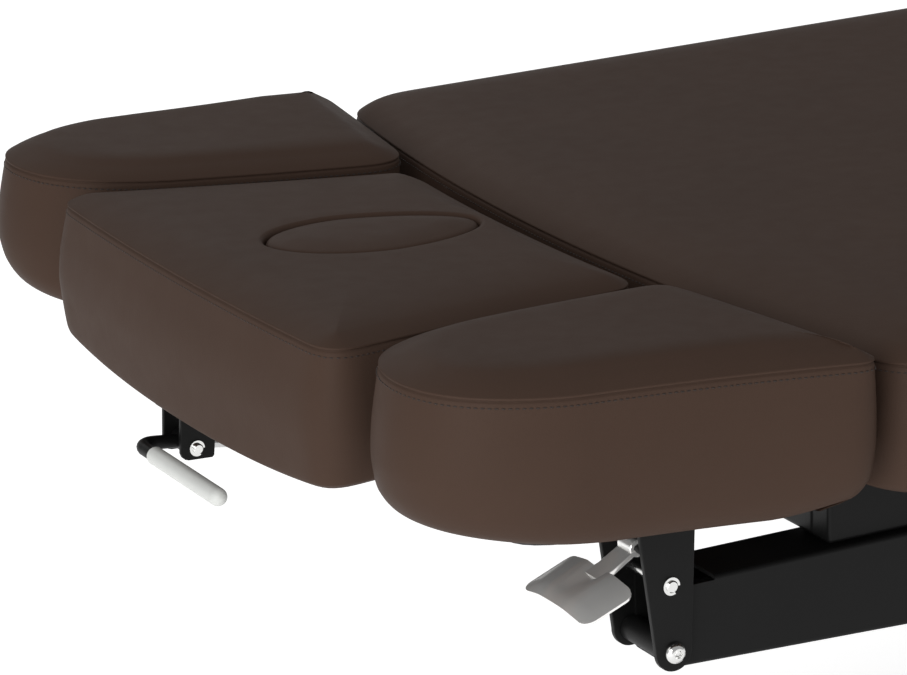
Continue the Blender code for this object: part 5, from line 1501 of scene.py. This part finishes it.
def tube_caps():
    """Plastic plugs in the open ends of the floor rails"""
    parts = []
    for end in (-1, 1):
        face = end * BASE_HALF_LENGTH
        for y in around(0, BASE_RAIL_Y):
            parts.append(bar((face - end * RAIL_CAP_DEPTH, face + end * RAIL_CAP_LIP),
                             around(y, BASE_TUBE_HALF - RAIL_CAP_INSET),
                             (BASE_BOTTOM + RAIL_CAP_INSET, BASE_TOP - RAIL_CAP_INSET), RAIL_CAP_LIP))
    return parts


def hinge_pin_bmesh(point, start, end, head):
    """A hinge pin along Y with a hexagon head beyond its end"""
    sign = 1 if end > start else -1
    face = (point.x, end, point.z)
    return merged([rod((point.x, start, point.z), face, HINGE_BOLT_RADIUS),
                   hexagon(face, (0, sign, 0), HINGE_BOLT_RADIUS * 1.7, head)])


class BED_OT_frames(bpy.types.Operator):
    """Make the floor frame, upper frame, back frame, leg frame and their hinge pins"""
    bl_idname = "bed.frames"
    bl_label = "Frames"

    def execute(self, context):
        for name, parts, body in (("base", base_parts(), "base"), ("top", top_frame_parts(), "lift"),
                                  ("back", back_frame_parts(), "back"), ("leg", leg_frame_parts(), "leg")):
            add_piece(name + "_tubes", merged(parts), body, "black_paint", [name + "_frame"])
        add_piece("base_tube_caps", merged(tube_caps()), "base", "plastic")
        for side, s in SIDES.items():
            back = hinge_pin_bmesh(BACK_HINGE, s * (BACK_PLATE_Y - 0.002),
                                   s * (TOP_PLATE_Y + HINGE_PLATE + GAP), BACK_PIN_HEAD)
            add_piece("back_pivot_" + side, back, "back", "steel", ["back_hinge_pin_" + side])
            leg = hinge_pin_bmesh(LEG_HINGE, s * (TOP_RAIL_Y - RAIL_HALF - 0.004),
                                  s * (LEG_RAIL_Y + RAIL_HALF + GAP), LEG_PIN_HEAD)
            add_piece("leg_pivot_" + side, leg, "leg", "steel", ["leg_hinge_bolt_" + side])
        return {"FINISHED"}


def strut_bmesh(anchor, target, length, radius, motor):
    """A gas spring's or actuator's body: eye, neck, ribbed motor where it has one, tube and end gland"""
    eye = bush(anchor, EYE_HALF, PIN_RADIUS + GAP, EYE_RADIUS, 32)
    neck, shoulder = EYE_RADIUS * 0.9, EYE_SHOULDER
    profile = [(neck, 0), (neck, EYE_HALF * 0.8), (shoulder, EYE_HALF * 0.8)]
    if motor:
        first, last, wide = MOTOR_START, MOTOR_START + motor, MOTOR_RADIUS
        profile += [(shoulder, radius * 0.9), (first, radius), (first, wide - 0.002),
                    (first + 0.002, wide)]
        for share in MOTOR_RIBS:
            rib = first + motor * share
            profile += [(rib - 0.0015, wide), (rib - 0.001, wide - 0.001), (rib + 0.001, wide - 0.001),
                        (rib + 0.0015, wide)]
        profile += [(last - 0.002, wide), (last, wide - 0.002), (last, radius)]
    else:
        profile += [(shoulder, radius - 0.001), (shoulder + 0.001, radius)]
    groove = radius - 0.0008
    profile += [(length - 0.016, radius), (length - 0.0155, groove), (length - 0.0145, groove),
                (length - 0.014, radius), (length - 0.0015, radius), (length, radius - 0.0015),
                (length, 0)]
    return merged([eye, spun(profile, anchor, (target - anchor).normalized(), 28)])


class BED_OT_drives(bpy.types.Operator):
    """Make the columns, feet, actuators, gas spring and control box"""
    bl_idname = "bed.drives"
    bl_label = "Columns and drives"

    def execute(self, context):
        self.columns()
        self.feet()
        self.control_box()
        lever = turned_about(HEAD_HINGE, TILT) @ LEVER_PIN
        spring = strut_bmesh(HEAD_ANCHOR, lever, HEAD_SPRING_LENGTH, SPRING_RADIUS, 0)
        add_piece("head_gas_spring_body", spring, "head_spring", "black_paint", ["head_gas_spring"])
        for name, anchor, lug, length in (("back_actuator", BACK_ANCHOR, BACK_LUG, BACK_ACTUATOR_LENGTH),
                                          ("leg_actuator", LEG_ANCHOR, LEG_LUG, LEG_ACTUATOR_LENGTH)):
            actuator = strut_bmesh(anchor, lug, length, ACTUATOR_RADIUS, MOTOR_LENGTH)
            add_piece(name + "_body", actuator, name, "black_paint", [name])
        return {"FINISHED"}

    def columns(self):
        bottom, top = (corner.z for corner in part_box("column_outer_head"))
        half = COLUMN_HALF
        inset = COLUMN_WALL + GAP
        for end, x in COLUMN_X.items():
            outer = sleeve(around(x, half.x), around(0, half.y), (bottom, top), COLUMN_CORNER, COLUMN_WALL,
                           closed_bottom=True)
            add_piece("column_shell_" + end, outer, "base", "column", ["column_outer_" + end])
            collar = sleeve(around(x, half.x + COLLAR_LIP), around(0, half.y + COLLAR_LIP),
                            (top - COLLAR_DROP, top + COLLAR_RISE), COLUMN_CORNER + COLLAR_LIP,
                            COLLAR_WALL)
            add_piece("column_collar_" + end, collar, "base", "plastic")
            height = [corner.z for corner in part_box("column_inner_" + end)]
            inner = post(around(x, half.x - inset), around(0, half.y - inset), height, COLUMN_CORNER * 0.6)
            add_piece("column_slide_" + end, inner, "lift", "steel", ["column_inner_" + end])

    def feet(self):
        for end, x in zip(("head", "foot"), around(0, BASE_HALF_LENGTH - FOOT_INSET)):
            for side, s in SIDES.items():
                y = s * BASE_RAIL_Y
                foot = spun(FOOT_PROFILE, (x, y, 0), (0, 0, 1), 32)
                nut = hexagon((x, y, FOOT_NUT_LEVEL), (0, 0, 1), FOOT_NUT_RADIUS, FOOT_NUT_HEIGHT)
                add_piece("foot_%s_%s" % (end, side), merged([foot, nut]), "base", "rubber",
                          ["levelling_foot_%s_%s" % (end, side)])

    def control_box(self):
        low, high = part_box("control_box")
        lid = high.z - LID_HEIGHT
        x, y = (low.x, high.x), (low.y, high.y)
        inset = LID_NECK_INSET
        parts = [bar(x, y, (low.z, lid - LID_GAP), BOX_ROUND, 4),
                 bar(x, y, (lid + LID_GAP, high.z), BOX_ROUND, 4),
                 bar((low.x + inset, high.x - inset), (low.y + inset, high.y - inset),
                     around(lid, LID_NECK_HALF), inset)]
        for screw_x in (low.x + LID_SCREW_INSET, high.x - LID_SCREW_INSET):
            for screw_y in (low.y + LID_SCREW_INSET, high.y - LID_SCREW_INSET):
                parts.append(spun(LID_SCREW, (screw_x, screw_y, high.z - 0.0002), (0, 0, 1), 20))
        for i in range(VENTS):
            start = low.x + VENT_START + i * VENT_PITCH
            parts.append(bar((start, start + VENT_WIDTH), (low.y + VENT_INSET, high.y - VENT_INSET),
                             (high.z - 0.0005, high.z + VENT_RISE), VENT_RISE / 2))
        add_piece("control_housing", merged(parts), "base", "plastic", ["control_box"])
        low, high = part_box("power_inlet")
        x, y, z = (low.x, high.x), (low.y, high.y), (low.z, high.z)
        sides = ((low.x, low.x + INLET_WALL), (high.x - INLET_WALL, high.x))
        levels = ((low.z, low.z + INLET_WALL), (high.z - INLET_WALL, high.z))
        parts = [bar(side, y, z, 0.001) for side in sides] + [bar(x, y, level, 0.001) for level in levels]
        parts.append(bar((low.x + 0.001, high.x - 0.001), (low.y, low.y + INLET_WALL),
                         (low.z + 0.001, high.z - 0.001), 0.0006))
        middle = (low.x + high.x) / 2
        for shift, level in INLET_CONTACTS:
            parts.append(bar(around(middle + shift, 0.001), (low.y + 0.001, high.y - 0.002),
                             around(low.z + level, 0.002), 0.0003))
        add_piece("inlet_socket", merged(parts), "base", "plastic", ["power_inlet"])


class BED_OT_frame_finishes(bpy.types.Operator):
    """Give every piece of the frame its finish"""
    bl_idname = "bed.frame_finishes"
    bl_label = "Frame finishes"

    def execute(self, context):
        make_finishes()
        slots = {row["node"]: row["material_slot"] for row in frame["record"]["subparts"]}
        for name, node in frame["nodes"].items():
            node.data.materials.clear()
            node.data.materials.append(FINISHES[slots[name]])
        return {"FINISHED"}


class BED_OT_stage(bpy.types.Operator):
    """Set the floor, the lights and the camera"""
    bl_idname = "bed.stage"
    bl_label = "Stage"

    def execute(self, context):
        scene = context.scene
        strength = scene.stage_light
        scene.view_settings.view_transform = "Standard"
        self.floor(scene)
        self.light(scene, "key", KEY_PLACE, KEY_SIZE, strength.key)
        self.light(scene, "rim", RIM_PLACE, RIM_SIZE, strength.rim)
        world = bpy.data.worlds.new("studio")
        world.use_nodes = True
        world.node_tree.nodes["Background"].inputs["Color"].default_value = (1, 1, 1, 1)
        world.node_tree.nodes["Background"].inputs["Strength"].default_value = strength.sky
        scene.world = world
        self.camera(scene)
        return {"FINISHED"}

    def floor(self, scene):
        bm = bmesh.new()
        bmesh.ops.create_grid(bm, x_segments=1, y_segments=1, size=FLOOR_HALF)
        mesh = bpy.data.meshes.new("floor")
        bm.to_mesh(mesh)
        bm.free()
        floor = bpy.data.objects.new("floor", mesh)
        scene.collection.objects.link(floor)
        finish = Finish("floor")
        finish.set(base_color=(0.90, 0.90, 0.90, 1), roughness=0.9, specular_ior_level=0.0,
                   emission_color=(1, 1, 1, 1), emission_strength=scene.stage_light.floor)
        mesh.materials.append(finish.material)

    def light(self, scene, name, place, size, power):
        lamp = bpy.data.lights.new(name, "AREA")
        lamp.size = size
        lamp.energy = power
        holder = bpy.data.objects.new(name, lamp)
        holder.location = place
        holder.rotation_euler = (LIGHT_TARGET - Vector(place)).to_track_quat("-Z", "Y").to_euler()
        scene.collection.objects.link(holder)

    def camera(self, scene):
        data = bpy.data.cameras.new("photo_camera")
        data.sensor_width = SENSOR_WIDTH_MM
        data.lens = PHOTO_FOCAL_PX * SENSOR_WIDTH_MM / PHOTO_WIDTH_PX
        data.clip_end = 100
        a, e = CAMERA_AZIMUTH, CAMERA_ELEVATION
        back = Vector((math.sin(a) * math.cos(e), -math.cos(a) * math.cos(e), math.sin(e)))
        level = Vector((math.cos(a), math.sin(a), 0))
        right = Matrix.Rotation(CAMERA_ROLL, 3, back) @ level
        camera = bpy.data.objects.new("photo_camera", data)
        axes = Matrix((right, back.cross(right), back)).transposed().to_4x4()
        camera.matrix_world = Matrix.Translation(CAMERA_PLACE) @ axes
        scene.collection.objects.link(camera)
        scene.camera = camera


class BED_PT_panel(bpy.types.Panel):
    """Sizes, finishes and build steps of the facial bed"""
    bl_idname = "BED_PT_panel"
    bl_label = "Facial bed"
    bl_space_type = "VIEW_3D"
    bl_region_type = "UI"
    bl_category = "Facial bed"

    def draw(self, context):
        for settings in SETTINGS:
            group = getattr(context.scene, settings)
            for name in group.__annotations__:
                self.layout.prop(group, name)
        for step in STEPS:
            self.layout.operator(step.bl_idname)


SETTINGS = {"cushion_sizes": CushionSizes, "fitting_sizes": FittingSizes, "bed_finishes": BedFinishes,
            "stage_light": StageLight}
STEPS = (BED_OT_frame_finishes, BED_OT_cushions, BED_OT_arm_fittings, BED_OT_head_fittings, BED_OT_frames,
         BED_OT_drives, BED_OT_stage)
CLASSES = tuple(SETTINGS.values()) + STEPS + (BED_PT_panel,)


def register():
    for cls in CLASSES:
        bpy.utils.register_class(cls)
    for name, group in SETTINGS.items():
        setattr(bpy.types.Scene, name, PointerProperty(type=group))


def unregister():
    for name in SETTINGS:
        delattr(bpy.types.Scene, name)
    for cls in reversed(CLASSES):
        bpy.utils.unregister_class(cls)


def main():
    register()
    bpy.ops.bed.frame_finishes()
    bpy.ops.bed.cushions()
    bpy.ops.bed.arm_fittings()
    bpy.ops.bed.head_fittings()
    bpy.ops.bed.frames()
    bpy.ops.bed.drives()
    bpy.ops.bed.stage()


if __name__ == "__main__":
    main()
